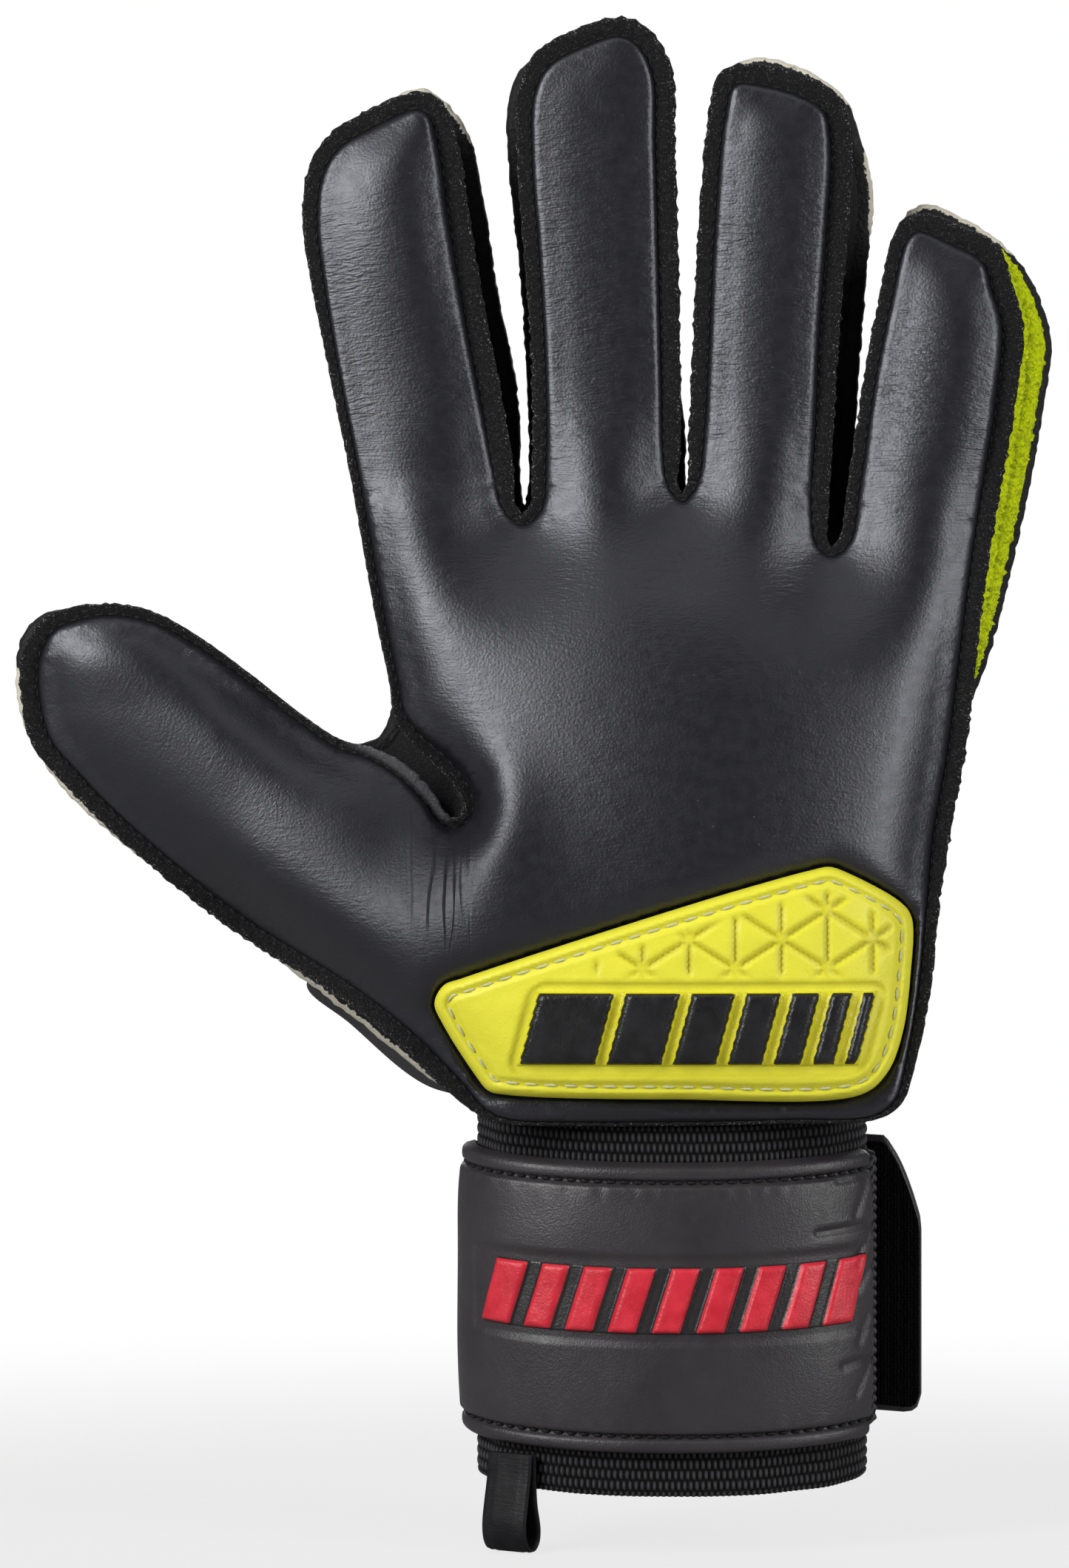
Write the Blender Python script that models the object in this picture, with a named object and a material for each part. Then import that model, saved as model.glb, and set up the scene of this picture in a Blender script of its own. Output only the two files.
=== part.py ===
"""A goalkeeper glove for a right hand: fingers up +Z, back of the hand to -Y, thumb at -X."""

import math

import bmesh
import bpy
import numpy as np
from mathutils import Matrix, Vector
from mathutils.geometry import delaunay_2d_cdt

MM = 0.001

# Everything below is in millimetres until it becomes a mesh.
GAP = 0.3
GRID = 8.0
KEEP = 0.12

PALM_INNER = 17.5
PALM_THICK = 5.0
BASE_THICK = 1.5
WALL_THICK = 1.2
WALL_CLEAR = 0.6
WALL_AT_BACK = 0.6
WALL_AT_PALM = 2.8
PANEL_SEAT = 0.5
PANEL_EDGE = 0.8
PANEL_RISE = 6.4
PANEL_ROLL = 11.0
PAD_EDGE = 3.2
PAD_RISE = 4.2
PAD_ROLL = 5.0
PAD_INSET = 2.4
PAD_CHANNEL = 1.2
PAD_HALF_CHANNEL = 0.9
WALL_FOOT = 73.0
MESH_FOOT = 133.0
TIP_ZONE = 12.0

WRIST_X = -0.9
WRIST_TILT = 0.15
CUFF_HALF = (34.4, 17.0)
CUFF_WALL = 2.0
CUFF_LOW = 4.4
CUFF_HIGH = 69.6
STRAP_THICK = 2.4
STRAP_CROWN = 0.8
STRAP_LOW = 12.4
STRAP_HIGH = 63.4
BINDING = 3.2
STRAP_START = 177.0
STRAP_END = 351.0
STRAP_BAR_TURN = (205.0, 336.0)
STRAP_BAR_SPAN = (33.5, 46.5)
STRAP_BAR_THICK = 1.0
TAPE_END = 358.0
TAPE_SPAN = (14.0, 61.8)
TAPE_THICK = 1.6
PATCH_THICK = 0.9
LOOP_PATCH_TURN = (125.0, 55.0)
LOOP_PATCH_SPAN = (17.0, 58.0)
HOOK_PATCH_TURN = (116.0, 64.0)
HOOK_PATCH_SPAN = (18.0, 57.0)
FLAP_TURN = (175.8, 62.0)
FLAP_REACH = 43.9
FLAP_DROP = 1.4

# The pull loop: where round the cuff it hangs, and the middle of its tape as way out from the cuff, height.
PULL_TURN = 216.7
PULL_WIDTH = 9.0
PULL_THICK = 1.0
PULL_TOP = 9.2
PULL_PATH = [
    (0.9, 9.0), (0.9, 4.0), (0.6, 0.0), (-0.6, -4.0), (-0.4, -6.4), (1.0, -7.9), (2.9, -7.6),
    (4.0, -5.8), (4.2, -3.0), (3.4, 1.0), (2.5, 5.0), (2.1, 9.0),
]

# Points of the seam round the back panel, clockwise: x, z, and the width of the flange outside it there.
# Each run starts at the bottom of the crotch before its finger.
PANEL = {
    "thumb": [
        (-33.8, 69.7, 1.2), (-38.7, 75.1, 2.8), (-46.5, 82.9, 3.0), (-57.0, 90.9, 3.0),
        (-78.0, 103.7, 3.0), (-99.1, 121.0, 3.0), (-107.0, 129.1, 3.1), (-111.8, 134.9, 3.2),
        (-113.7, 142.1, 3.3), (-113.6, 149.3, 3.2), (-111.0, 154.3, 2.8), (-106.0, 156.4, 2.4),
        (-100.1, 157.1, 2.1), (-93.5, 155.9, 1.8), (-86.2, 152.2, 1.5), (-77.0, 145.8, 1.3),
        (-67.7, 138.5, 1.3), (-60.2, 133.5, 1.5), (-54.6, 131.6, 2.0), (-49.3, 128.3, 2.4),
        (-44.7, 123.7, 2.3), (-42.5, 120.6, 2.0),
    ],
    "index": [
        (-39.9, 119.3, 1.8), (-37.1, 120.4, 1.9), (-36.1, 123.7, 2.1), (-37.8, 128.0, 2.4),
        (-41.5, 132.2, 2.4), (-45.9, 136.0, 2.2), (-48.6, 139.7, 1.9), (-49.6, 144.7, 1.5),
        (-52.0, 155.9, 1.5), (-56.8, 182.3, 1.5), (-60.4, 200.8, 1.7), (-63.1, 216.7, 2.2),
        (-64.3, 227.3, 2.5), (-63.5, 235.2, 2.8), (-60.6, 240.4, 3.0), (-54.1, 244.5, 3.1),
        (-46.6, 247.6, 3.2), (-44.4, 246.6, 3.4), (-42.6, 240.5, 3.7), (-40.7, 227.3, 3.8),
        (-37.6, 208.8, 3.9), (-34.3, 191.6, 3.9), (-32.6, 182.3, 3.6), (-30.9, 176.0, 2.3),
    ],
    "middle": [
        (-27.6, 173.1, 1.9), (-24.3, 175.7, 2.2), (-23.4, 185.0, 2.5), (-23.5, 200.8, 2.5),
        (-24.7, 222.0, 2.6), (-25.9, 237.9, 2.6), (-25.6, 249.8, 3.0), (-23.1, 255.1, 3.3),
        (-17.2, 258.6, 3.4), (-10.2, 260.7, 3.4), (-7.0, 259.1, 3.5), (-4.3, 253.8, 3.6),
        (-3.8, 240.5, 3.6), (-2.8, 200.8, 3.5), (-2.4, 185.0, 3.0), (-1.6, 180.1, 1.8),
    ],
    "ring": [
        (0.9, 177.3, 1.3), (3.4, 180.1, 1.8), (4.7, 188.9, 2.7), (5.6, 203.5, 2.9),
        (6.7, 226.0, 2.9), (8.6, 246.5, 3.0), (10.3, 251.9, 3.4), (15.2, 251.9, 3.7),
        (22.5, 249.8, 3.8), (26.3, 247.2, 3.8), (27.5, 241.2, 3.9), (26.8, 226.0, 3.8),
        (25.4, 207.4, 3.6), (24.6, 190.2, 3.3), (23.9, 175.7, 3.0), (24.8, 169.5, 2.1),
    ],
    "pinky": [
        (27.4, 167.5, 1.7), (30.5, 169.8, 2.1), (32.6, 181.0, 2.2), (35.4, 199.5, 2.1),
        (38.1, 212.7, 2.2), (41.0, 224.0, 2.6), (42.9, 225.7, 3.2), (48.8, 223.6, 3.7),
        (54.5, 220.3, 3.9), (56.2, 215.1, 3.9), (57.9, 208.8, 3.9), (56.8, 195.5, 3.6),
        (54.3, 179.7, 3.3), (52.2, 166.5, 3.1), (50.0, 150.1, 3.1), (47.7, 133.1, 3.2),
        (44.8, 116.8, 3.0), (43.6, 103.5, 2.1), (42.4, 91.8, 2.0), (40.2, 79.6, 1.6),
        (37.8, 71.6, 1.2),
    ],
    "wrist": [
        (33.9, 68.9, 0.7), (18.3, 68.2, 0.6), (-2.4, 67.8, 0.6), (-20.6, 67.8, 0.6),
        (-29.6, 68.2, 0.7),
    ],
}

# Points of the palm sheet's edge: x, z. It sits a little to the little-finger side of the back.
PALM = {
    "thumb": [
        (-37.5, 69.4), (-43.8, 73.1), (-57.4, 83.9), (-71.7, 94.7), (-86.1, 105.4),
        (-100.3, 116.2), (-111.8, 127.0), (-118.2, 137.8), (-119.7, 145.8), (-118.6, 153.9),
        (-114.6, 158.0), (-104.0, 159.2), (-96.4, 158.2), (-90.4, 155.5), (-72.3, 142.1),
        (-64.5, 136.7),
    ],
    "index": [
        (-58.2, 134.3), (-53.8, 135.6), (-51.8, 139.5), (-51.2, 145.0), (-53.2, 156.0),
        (-57.6, 182.0), (-61.3, 200.8), (-65.0, 219.0), (-66.0, 228.0), (-64.6, 237.0),
        (-60.5, 243.5), (-54.0, 249.3), (-49.5, 252.6), (-45.4, 253.4), (-41.4, 250.8),
        (-37.5, 245.5), (-34.9, 234.7), (-31.4, 213.2), (-29.0, 202.4), (-28.0, 192.0),
        (-27.9, 182.0),
    ],
    "middle": [
        (-27.2, 178.0), (-26.5, 182.0), (-26.5, 192.0), (-27.0, 203.0), (-27.8, 217.0),
        (-29.1, 229.3), (-30.4, 243.0), (-30.0, 252.0), (-27.5, 257.5), (-20.0, 261.5),
        (-11.0, 264.8), (-5.5, 263.2), (-2.0, 257.0), (-0.9, 245.0), (-0.6, 225.0), (0.2, 205.0),
        (2.0, 192.0), (2.1, 182.0),
    ],
    "ring": [
        (2.8, 178.0), (3.5, 182.0), (3.6, 192.0), (3.9, 205.0), (5.2, 226.0), (6.9, 246.0),
        (8.4, 254.5), (13.3, 258.9), (19.0, 258.6), (26.5, 255.5), (31.5, 250.9), (34.3, 243.0),
        (36.2, 234.7), (35.2, 222.0), (34.0, 207.0), (33.0, 192.0), (32.1, 180.0),
    ],
    "pinky": [
        (32.5, 175.0), (33.7, 180.0), (34.6, 192.0), (36.2, 203.0), (38.4, 216.0), (40.2, 226.0),
        (42.5, 231.0), (46.0, 232.5), (51.0, 230.7), (58.0, 226.6), (63.5, 220.8), (67.2, 213.5),
        (68.6, 206.5), (67.2, 196.0), (65.2, 184.0), (61.0, 164.7), (56.8, 149.0), (50.6, 133.0),
        (47.5, 117.0), (45.6, 105.0), (43.8, 90.0), (41.2, 79.0), (38.2, 72.5),
    ],
    "wrist": [
        (34.0, 69.2), (18.0, 68.6), (-2.0, 68.2), (-20.0, 68.2), (-31.0, 68.4),
    ],
}

# Where each finger bends: the two ends of the crease, left to right with the finger pointing up.
CREASE = {
    "thumb": ((-81.3, 106.4), (-63.8, 135.8)),
    "index": ((-57.6, 186.3), (-33.8, 188.7)),
    "middle": ((-23.4, 186.8), (-2.5, 187.6)),
    "ring": ((4.6, 187.9), (24.5, 186.7)),
    "pinky": ((32.8, 183.5), (54.4, 180.4)),
}

# The moulded pad above the wrist: x, z, clockwise.
PAD = [
    (-42.9, 88.7), (-41.3, 91.9), (-38.0, 93.2), (5.4, 107.2), (23.6, 112.2), (26.0, 112.6),
    (28.2, 112.0), (39.0, 106.2), (40.9, 103.6), (40.6, 93.2), (39.0, 82.8), (36.2, 76.3),
    (31.6, 72.7), (-2.4, 72.0), (-30.0, 72.7), (-33.5, 73.4), (-35.7, 76.0), (-41.3, 84.8),
]
BAR = [(-28.5, 78.0), (-25.0, 91.0), (34.5, 91.0), (31.0, 78.0)]
BAR_RISE = 1.2

# The patch over the thumb-side heel of the palm: x, z, clockwise.
HEEL = [
    (-43.5, 71.4), (-59.4, 83.6), (-67.0, 90.4), (-62.0, 96.0), (-50.0, 97.0), (-38.0, 92.0),
    (-30.0, 82.0), (-28.0, 71.4),
]
HEEL_THICK = 1.8

# Finishes: colour, then roughness. Nothing on a glove is metal.
LEATHER = ((0.02, 0.02, 0.022), 0.38)
FLEECE = ((0.012, 0.012, 0.012), 0.95)
LATEX = ((0.76, 0.72, 0.62), 0.7)
LEMON = ((0.87, 0.82, 0.03), 0.5)
LIME = ((0.58, 0.84, 0.01), 0.85)
CHARCOAL = ((0.045, 0.042, 0.042), 0.45)
RED = ((0.8, 0.03, 0.05), 0.5)
KNIT = ((0.01, 0.01, 0.011), 0.9)
SHARP = 38.0


for old in list(bpy.data.objects):
    bpy.data.objects.remove(old)


def smooth(value):
    value = np.clip(value, 0.0, 1.0)
    return value * value * (3.0 - 2.0 * value)


def back_face(x, z):
    """The y of the base sheet's outer face: deepest at the wrist, flatter over the thumb."""
    away = np.clip((250.0 - z) / 180.0, 0.0, 1.1)
    hand = 1.0 - 20.0 * away**1.7
    thumb = smooth((-45.0 - x) / 35.0) * smooth((170.0 - z) / 30.0)
    return hand * (1.0 - thumb) - 1.0 * thumb


def spline(rows):
    """A closed curve through the rows, and where each row falls on it."""
    rows = np.array(rows, float)
    ahead = np.roll(rows, -1, axis=0) - rows
    length = np.linalg.norm(ahead[:, :2], axis=1)
    step = np.sqrt(length)[:, None]
    slope = ahead / step
    last_step = np.roll(step, 1, axis=0)
    last_slope = np.roll(slope, 1, axis=0)
    tangent = (last_slope * step + slope * last_step) / (step + last_step)
    points = []
    starts = []
    for i in range(len(rows)):
        j = (i + 1) % len(rows)
        starts.append(len(points))
        pieces = max(2, math.ceil(length[i] / 1.6))
        for k in range(pieces):
            t = k / pieces
            points.append(
                (2 * t**3 - 3 * t**2 + 1) * rows[i]
                + (t**3 - 2 * t**2 + t) * step[i] * tangent[i]
                + (3 * t**2 - 2 * t**3) * rows[j]
                + (t**3 - t**2) * step[i] * tangent[j]
            )
    return np.array(points), starts


def outline(table):
    """The closed curve of a table of runs, and the runs as slices of it."""
    rows = []
    first = {}
    for name, run in table.items():
        first[name] = len(rows)
        rows.extend(run)
    points, starts = spline(rows)
    begins = [starts[i] for i in first.values()] + [len(points)]
    return points, dict(zip(first, zip(begins, begins[1:])))


def outward(points):
    """Unit vectors out of a closed clockwise curve."""
    along = np.roll(points, -1, axis=0)[:, :2] - np.roll(points, 1, axis=0)[:, :2]
    along /= np.linalg.norm(along, axis=1)[:, None]
    return np.stack([-along[:, 1], along[:, 0]], axis=1)


def simplify(points, keep=KEEP):
    """Fewer points of an open run, none of the dropped ones further than keep from it."""
    points = np.asarray(points)
    if len(points) < 3:
        return points
    chord = points[-1] - points[0]
    size = max(np.linalg.norm(chord), 1e-9)
    off = points - points[0]
    far = np.abs(off[:, 0] * chord[1] - off[:, 1] * chord[0]) / size
    worst = int(np.argmax(far))
    if far[worst] < keep and size < GRID:
        return points[[0, -1]]
    if worst in (0, len(points) - 1):
        worst = len(points) // 2
    return np.concatenate([simplify(points[: worst + 1], keep)[:-1], simplify(points[worst:], keep)])


def divided(a, b, longest):
    """Points from a to b, both left out."""
    count = max(1, math.ceil(np.linalg.norm(np.subtract(b, a)) / longest))
    return [np.add(a, np.subtract(b, a) * k / count) for k in range(1, count)]


class Crease:
    """The line a finger bends on."""

    def __init__(self, left, right):
        self.middle = (np.array(left) + np.array(right)) / 2
        across = np.subtract(right, left)
        self.across = across / np.linalg.norm(across)
        self.up = np.array([-self.across[1], self.across[0]])

    def height(self, points):
        return (np.asarray(points)[:, :2] - self.middle) @ self.up

    def tip(self, run):
        """The point of a finger's outline halfway across its end."""
        height = self.height(run)
        side = (run - self.middle) @ self.across
        top = np.flatnonzero(height > height.max() - TIP_ZONE)
        centre = (side[top].min() + side[top].max()) / 2
        return top[np.argmin(np.abs(side[top] - centre))]

    def split(self, run):
        """A run of outline cut into what lies before, in and after the finger, a gap apart."""
        height = self.height(run)
        inside = np.flatnonzero(height > 0)
        first = inside[0]
        last = inside[-1]
        half = GAP / 2

        def at(i, level):
            share = (level - height[i]) / (height[i + 1] - height[i])
            return run[i] + share * (run[i + 1] - run[i])

        def crossing(near, level):
            spans = [i for i in range(len(run) - 1) if (height[i] - level) * (height[i + 1] - level) <= 0]
            i = min(spans, key=lambda k: abs(k - near))
            return i, at(i, level)

        up, finger_left = crossing(first, half)
        down, finger_right = crossing(last, half)
        low, hand_left = crossing(first, -half)
        after, hand_right = crossing(last, -half)
        before = np.vstack([run[: low + 1], hand_left])
        finger = np.vstack([finger_left, run[up + 1 : down + 1], finger_right])
        behind = np.vstack([hand_right, run[after + 1 :]])
        return before, finger, behind


seam, seam_runs = outline(PANEL)
seam_out = outward(seam)
seam_line = seam[:, :2]
flange_line = seam_line + seam_out * seam[:, 2:3]
wall_back_line = seam_line + seam_out * WALL_AT_BACK
palm_line, palm_runs = outline(PALM)
wall_palm_line = palm_line - outward(palm_line) * WALL_AT_PALM
pad_line = spline(PAD)[0]
creases = {name: Crease(*ends) for name, ends in CREASE.items()}


def run_of(line, runs, name):
    """One run of a closed line, up to and with the first point of the next."""
    begin, end = runs[name]
    return np.vstack([line[begin:end], line[end % len(line)]])


def finger_loop(line, runs, name):
    finger = creases[name].split(run_of(line, runs, name))[1]
    finger = simplify(finger)
    return np.vstack([finger] + divided(finger[-1], finger[0], GRID / 2))


def hand_loop(line, runs):
    parts = []
    for name, crease in creases.items():
        before, finger, behind = crease.split(run_of(line, runs, name))
        parts.append(simplify(before))
        parts.extend(np.array([p]) for p in divided(before[-1], behind[0], GRID / 2))
        parts.append(simplify(behind)[:-1])
    parts.append(simplify(run_of(line, runs, "wrist"))[:-1])
    return np.vstack(parts)


def inside(loop, points):
    ends = np.roll(loop, -1, axis=0)
    found = np.zeros(len(points), bool)
    for a, b in zip(loop, ends):
        between = (a[1] > points[:, 1]) != (b[1] > points[:, 1])
        rise = b[1] - a[1] if b[1] != a[1] else 1e-12
        found ^= between & (points[:, 0] < a[0] + (points[:, 1] - a[1]) * (b[0] - a[0]) / rise)
    return found


def distance(loop, points):
    a = loop
    along = np.roll(loop, -1, axis=0) - a
    off = points[:, None, :] - a[None]
    share = np.clip((off * along).sum(2) / np.maximum((along**2).sum(1), 1e-12), 0.0, 1.0)
    return np.linalg.norm(off - share[..., None] * along, axis=2).min(1)


def add(name, points, faces, finish, holder=None):
    """A named piece from points in millimetres, smooth but for its sharp edges."""
    mesh = bpy.data.meshes.new(name)
    mesh.from_pydata([Vector(p) * MM for p in np.asarray(points, float)], [], faces)
    shape = bmesh.new()
    shape.from_mesh(mesh)
    bmesh.ops.recalc_face_normals(shape, faces=shape.faces)
    shape.to_mesh(mesh)
    shape.free()
    mesh.shade_smooth()
    mesh.set_sharp_from_angle(angle=math.radians(SHARP))
    piece = bpy.data.objects.new(name, mesh)
    bpy.context.scene.collection.objects.link(piece)
    material = bpy.data.materials.new(name)
    material.use_nodes = True
    shader = material.node_tree.nodes["Principled BSDF"]
    shader.inputs["Base Color"].default_value = (*finish[0], 1.0)
    shader.inputs["Roughness"].default_value = finish[1]
    shader.inputs["Metallic"].default_value = 0.0
    mesh.materials.append(material)
    if holder:
        piece.parent = holder
        piece.matrix_parent_inverse = Matrix.Translation(-holder.location)
    return piece


def pivot(name, place):
    """An empty on a joint axis, which the moving pieces hang from."""
    empty = bpy.data.objects.new(name, None)
    empty.location = Vector(place) * MM
    bpy.context.scene.collection.objects.link(empty)
    return empty


def sheet(name, loop, front, back, finish, holder=None, hole=None, grid=GRID, rows_in=()):
    """A solid between two faces over an outline in x and z; front is the face towards -Y.

    The rows_in are more rings of points inside the outline, for a face that changes near its edge.
    """
    low = loop.min(0)
    high = loop.max(0)
    columns = np.arange(low[0], high[0], grid)
    rows = np.arange(low[1], high[1], grid * 0.87)
    spots = np.array([(x + grid / 2 * (k % 2), z) for k, z in enumerate(rows) for x in columns])
    spots = spots[inside(loop, spots) & (distance(loop, spots) > grid * 0.4)]
    loops = [list(range(len(loop)))]
    corners = loop
    for row in rows_in:
        spots = spots[inside(row, spots) & (distance(row, spots) > grid * 0.3)]
    for row in rows_in:
        loops.append([len(corners) + k for k in range(len(row))])
        corners = np.vstack([corners, row])
    if hole is not None:
        spots = spots[~inside(hole, spots) & (distance(hole, spots) > grid * 0.4)]
        loops.append([len(corners) + k for k in range(len(hole))])
        corners = np.vstack([corners, hole])
    flat = [Vector(p) for p in np.vstack([corners, spots])]
    edges = [(ring[k - 1], ring[k]) for ring in loops for k in range(len(ring))]
    flat, _, faces, _, _, _ = delaunay_2d_cdt(flat, edges, [], 1, 1e-5)
    flat = np.array(flat)
    middles = np.array([flat[f].mean(0) for f in faces])
    kept = inside(loop, middles)
    if hole is not None:
        kept &= ~inside(hole, middles)
    faces = [list(f) for f, k in zip(faces, kept) if k]
    near = np.column_stack([flat[:, 0], front(flat), flat[:, 1]])
    far = np.column_stack([flat[:, 0], back(flat), flat[:, 1]])
    count = len(flat)
    solid = []
    sides = {}
    for a, b, c in faces:
        turn = np.cross(flat[b] - flat[a], flat[c] - flat[a])
        tri = (a, b, c) if turn > 0 else (a, c, b)
        solid.append(tri)
        solid.append(tuple(count + k for k in reversed(tri)))
        for k in range(3):
            sides[(tri[k], tri[k - 2])] = True
    for a, b in sides:
        if (b, a) not in sides:
            solid.append((b, a, count + a, count + b))
    return add(name, np.vstack([near, far]), solid, finish, holder)


def panel_front(flat):
    rise = smooth_roll(distance(seam_line[::2], flat), PANEL_ROLL) * PANEL_RISE
    near_pad = np.clip(distance(pad_line, flat) / 4.0, 0.0, 1.0)
    rise *= np.sqrt(near_pad * (2.0 - near_pad))
    return panel_back(flat) - PANEL_EDGE - rise


def smooth_roll(away, roll):
    """A quarter ellipse from an edge up to full height a roll's width away."""
    share = np.clip(away / roll, 0.0, 1.0)
    return np.sqrt(share * (2.0 - share))


def panel_back(flat):
    return back_face(flat[:, 0], flat[:, 1]) - PANEL_SEAT


def base_front(flat):
    return back_face(flat[:, 0], flat[:, 1])


def base_inner(flat):
    return back_face(flat[:, 0], flat[:, 1]) + BASE_THICK


def level(y):
    return lambda flat: np.full(len(flat), y)


def resampled(run, count):
    run = np.asarray(run)
    travel = np.concatenate([[0.0], np.cumsum(np.linalg.norm(np.diff(run, axis=0), axis=1))])
    share = np.linspace(0.0, travel[-1], count)
    return np.column_stack([np.interp(share, travel, run[:, k]) for k in range(2)])


def wall(name, at_back, at_palm, finish, holder=None):
    """A strip of cloth standing between the base sheet and the palm, both runs clockwise round the glove."""
    length = np.linalg.norm(np.diff(at_back, axis=0), axis=1).sum()
    count = max(5, int(length / 4.5))
    back = resampled(at_back, count)
    palm = resampled(at_palm, count)
    rings = []
    for here, run in ((0, back), (1, palm)):
        along = np.gradient(run, axis=0)
        along /= np.linalg.norm(along, axis=1)[:, None]
        inner = run - np.stack([-along[:, 1], along[:, 0]], axis=1) * WALL_THICK
        for line in (run, inner):
            y = base_inner(line) + WALL_CLEAR if here == 0 else np.full(count, PALM_INNER - GAP)
            rings.append(np.column_stack([line[:, 0], y, line[:, 1]]))
    outer_back, inner_back, outer_palm, inner_palm = rings
    points = np.vstack([outer_back, outer_palm, inner_palm, inner_back])
    faces = []
    for k in range(4):
        for i in range(count - 1):
            a = k * count + i
            b = (k + 1) % 4 * count + i
            faces.append((a, a + 1, b + 1, b))
    faces.append(tuple(k * count for k in range(4)))
    faces.append(tuple(k * count + count - 1 for k in (3, 2, 1, 0)))
    return add(name, points, faces, finish, holder)


def swept(name, stations, finish, holder=None, closed=False):
    """A solid through a row of like sections, each a ring of points."""
    count = len(stations)
    ring = len(stations[0])
    points = [p for station in stations for p in station]
    faces = []
    for i in range(count if closed else count - 1):
        j = (i + 1) % count
        for k in range(ring):
            m = (k + 1) % ring
            faces.append((ring * i + k, ring * i + m, ring * j + m, ring * j + k))
    if not closed:
        faces.append(tuple(reversed(range(ring))))
        faces.append(tuple(ring * (count - 1) + k for k in range(ring)))
    return add(name, points, faces, finish, holder)


def ribbon(name, inner, outer, low, high, place, finish, holder=None, closed=False):
    """A band between two paths, from its low edge to its high one."""
    stations = [
        [place(*a, bottom), place(*b, bottom), place(*b, top), place(*a, top)]
        for a, b, bottom, top in zip(inner, outer, low, high)
    ]
    return swept(name, stations, finish, holder, closed)


def pad_front(flat):
    """The pad's face: a rim, a sewn channel inside it, then the crown."""
    away = distance(pad_line, flat)
    rise = smooth_roll(away, PAD_ROLL) * PAD_RISE
    channel = PAD_CHANNEL * np.clip(1.0 - np.abs(away - PAD_INSET) / PAD_HALF_CHANNEL, 0.0, 1.0)
    return panel_back(flat) - PAD_EDGE - rise + channel


def bar_back(flat):
    return pad_front(flat) - GAP


def bar_front(flat):
    return bar_back(flat) - BAR_RISE


def trimmed(run, start, end):
    """A run with a length taken off each end."""
    travel = np.concatenate([[0.0], np.cumsum(np.linalg.norm(np.diff(run, axis=0), axis=1))])
    kept = (travel > start) & (travel < travel[-1] - end)
    ends = [[np.interp(t, travel, run[:, k]) for k in range(2)] for t in (start, travel[-1] - end)]
    return np.vstack([ends[0], run[kept], ends[1]])


def clipped(run, low, high):
    """The part of a run between two heights; the run climbs or falls all the way."""
    if run[0, 1] > run[-1, 1]:
        return clipped(run[::-1], low, high)[::-1]
    low = max(low, run[0, 1])
    high = min(high, run[-1, 1])
    ends = [(np.interp(z, run[:, 1], run[:, 0]), z) for z in (low, high)]
    return np.vstack([ends[0], run[(run[:, 1] > low) & (run[:, 1] < high)], ends[1]])


def wall_runs(name):
    """What lies before, in and after a finger, of the cloth's two edges."""
    crease = creases[name]
    back = crease.split(run_of(wall_back_line, seam_runs, name))
    palm = crease.split(run_of(wall_palm_line, palm_runs, name))
    return list(zip(back, palm))


# Fingers and thumb: five pieces each, hung from the crease at the palm's outer face.
hinge_y = PALM_INNER + PALM_THICK + GAP
side_runs = {}
for finger, crease in creases.items():
    holder = pivot(finger + "_pivot", (crease.middle[0], hinge_y, crease.middle[1]))
    panel_loop = finger_loop(seam_line, seam_runs, finger)
    sheet(finger + "_panel", panel_loop, panel_front, panel_back, LEATHER, holder)
    base_loop = finger_loop(flange_line, seam_runs, finger)
    sheet(finger + "_base", base_loop, base_front, base_inner, FLEECE, holder)
    sheet(
        finger + "_palm",
        finger_loop(palm_line, palm_runs, finger),
        level(PALM_INNER),
        level(PALM_INNER + PALM_THICK),
        LATEX,
        holder,
    )
    side_runs[finger] = wall_runs(finger)
    halves = {"left": [], "right": []}
    for run in side_runs[finger][1]:
        tip = crease.tip(run)
        halves["left"].append(trimmed(run[: tip + 1], GAP, GAP))
        halves["right"].append(trimmed(run[tip:], GAP, GAP))
    for side, pair in halves.items():
        cloth = LIME if (finger, side) == ("pinky", "right") else FLEECE
        wall(f"{finger}_gusset_{side}", *pair, cloth, holder)

# The hand between them.
pad_half = len(pad_line) // 2
pad_loop = np.vstack(
    [simplify(pad_line[: pad_half + 1])[:-1], simplify(np.vstack([pad_line[pad_half:], pad_line[:1]]))[:-1]]
)
pad_hole = pad_loop + outward(pad_loop) * GAP * 1.5
sheet("backhand_panel", hand_loop(seam_line, seam_runs), panel_front, panel_back, LEATHER, hole=pad_hole)
sheet("backhand_base", hand_loop(flange_line, seam_runs), base_front, base_inner, FLEECE)
sheet(
    "palm_latex",
    hand_loop(palm_line, palm_runs),
    level(PALM_INNER),
    level(PALM_INNER + PALM_THICK),
    LATEX,
    grid=3 * GRID,
)
pad_rows = [pad_loop - outward(pad_loop) * (PAD_INSET + k * PAD_HALF_CHANNEL) for k in (-1, 0, 1)]
sheet("back_pad", pad_loop, pad_front, panel_back, LEMON, rows_in=pad_rows)
sheet("pad_bar", np.array(BAR), bar_front, bar_back, LEATHER)
sheet(
    "heel_patch",
    np.array(HEEL),
    level(PALM_INNER + PALM_THICK + GAP),
    level(PALM_INNER + PALM_THICK + GAP + HEEL_THICK),
    CHARCOAL,
    grid=3 * GRID,
)
names = list(creases)
for one, other in zip(names, names[1:]):
    pair = [np.vstack([a, b[1:]]) for a, b in zip(side_runs[one][2], side_runs[other][0])]
    wall(f"{one}_{other}_web", *[trimmed(run, GAP, GAP) for run in pair], FLEECE)
outer_edge = [trimmed(run, GAP, GAP) for run in side_runs["pinky"][2]]
wall("side_mesh", *[clipped(run, MESH_FOOT + GAP, 999.0) for run in outer_edge], LIME)
wall("side_gusset", *[clipped(run, WALL_FOOT, MESH_FOOT) for run in outer_edge], FLEECE)
thumb_edge = [trimmed(run, GAP, GAP) for run in side_runs["thumb"][0]]
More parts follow.
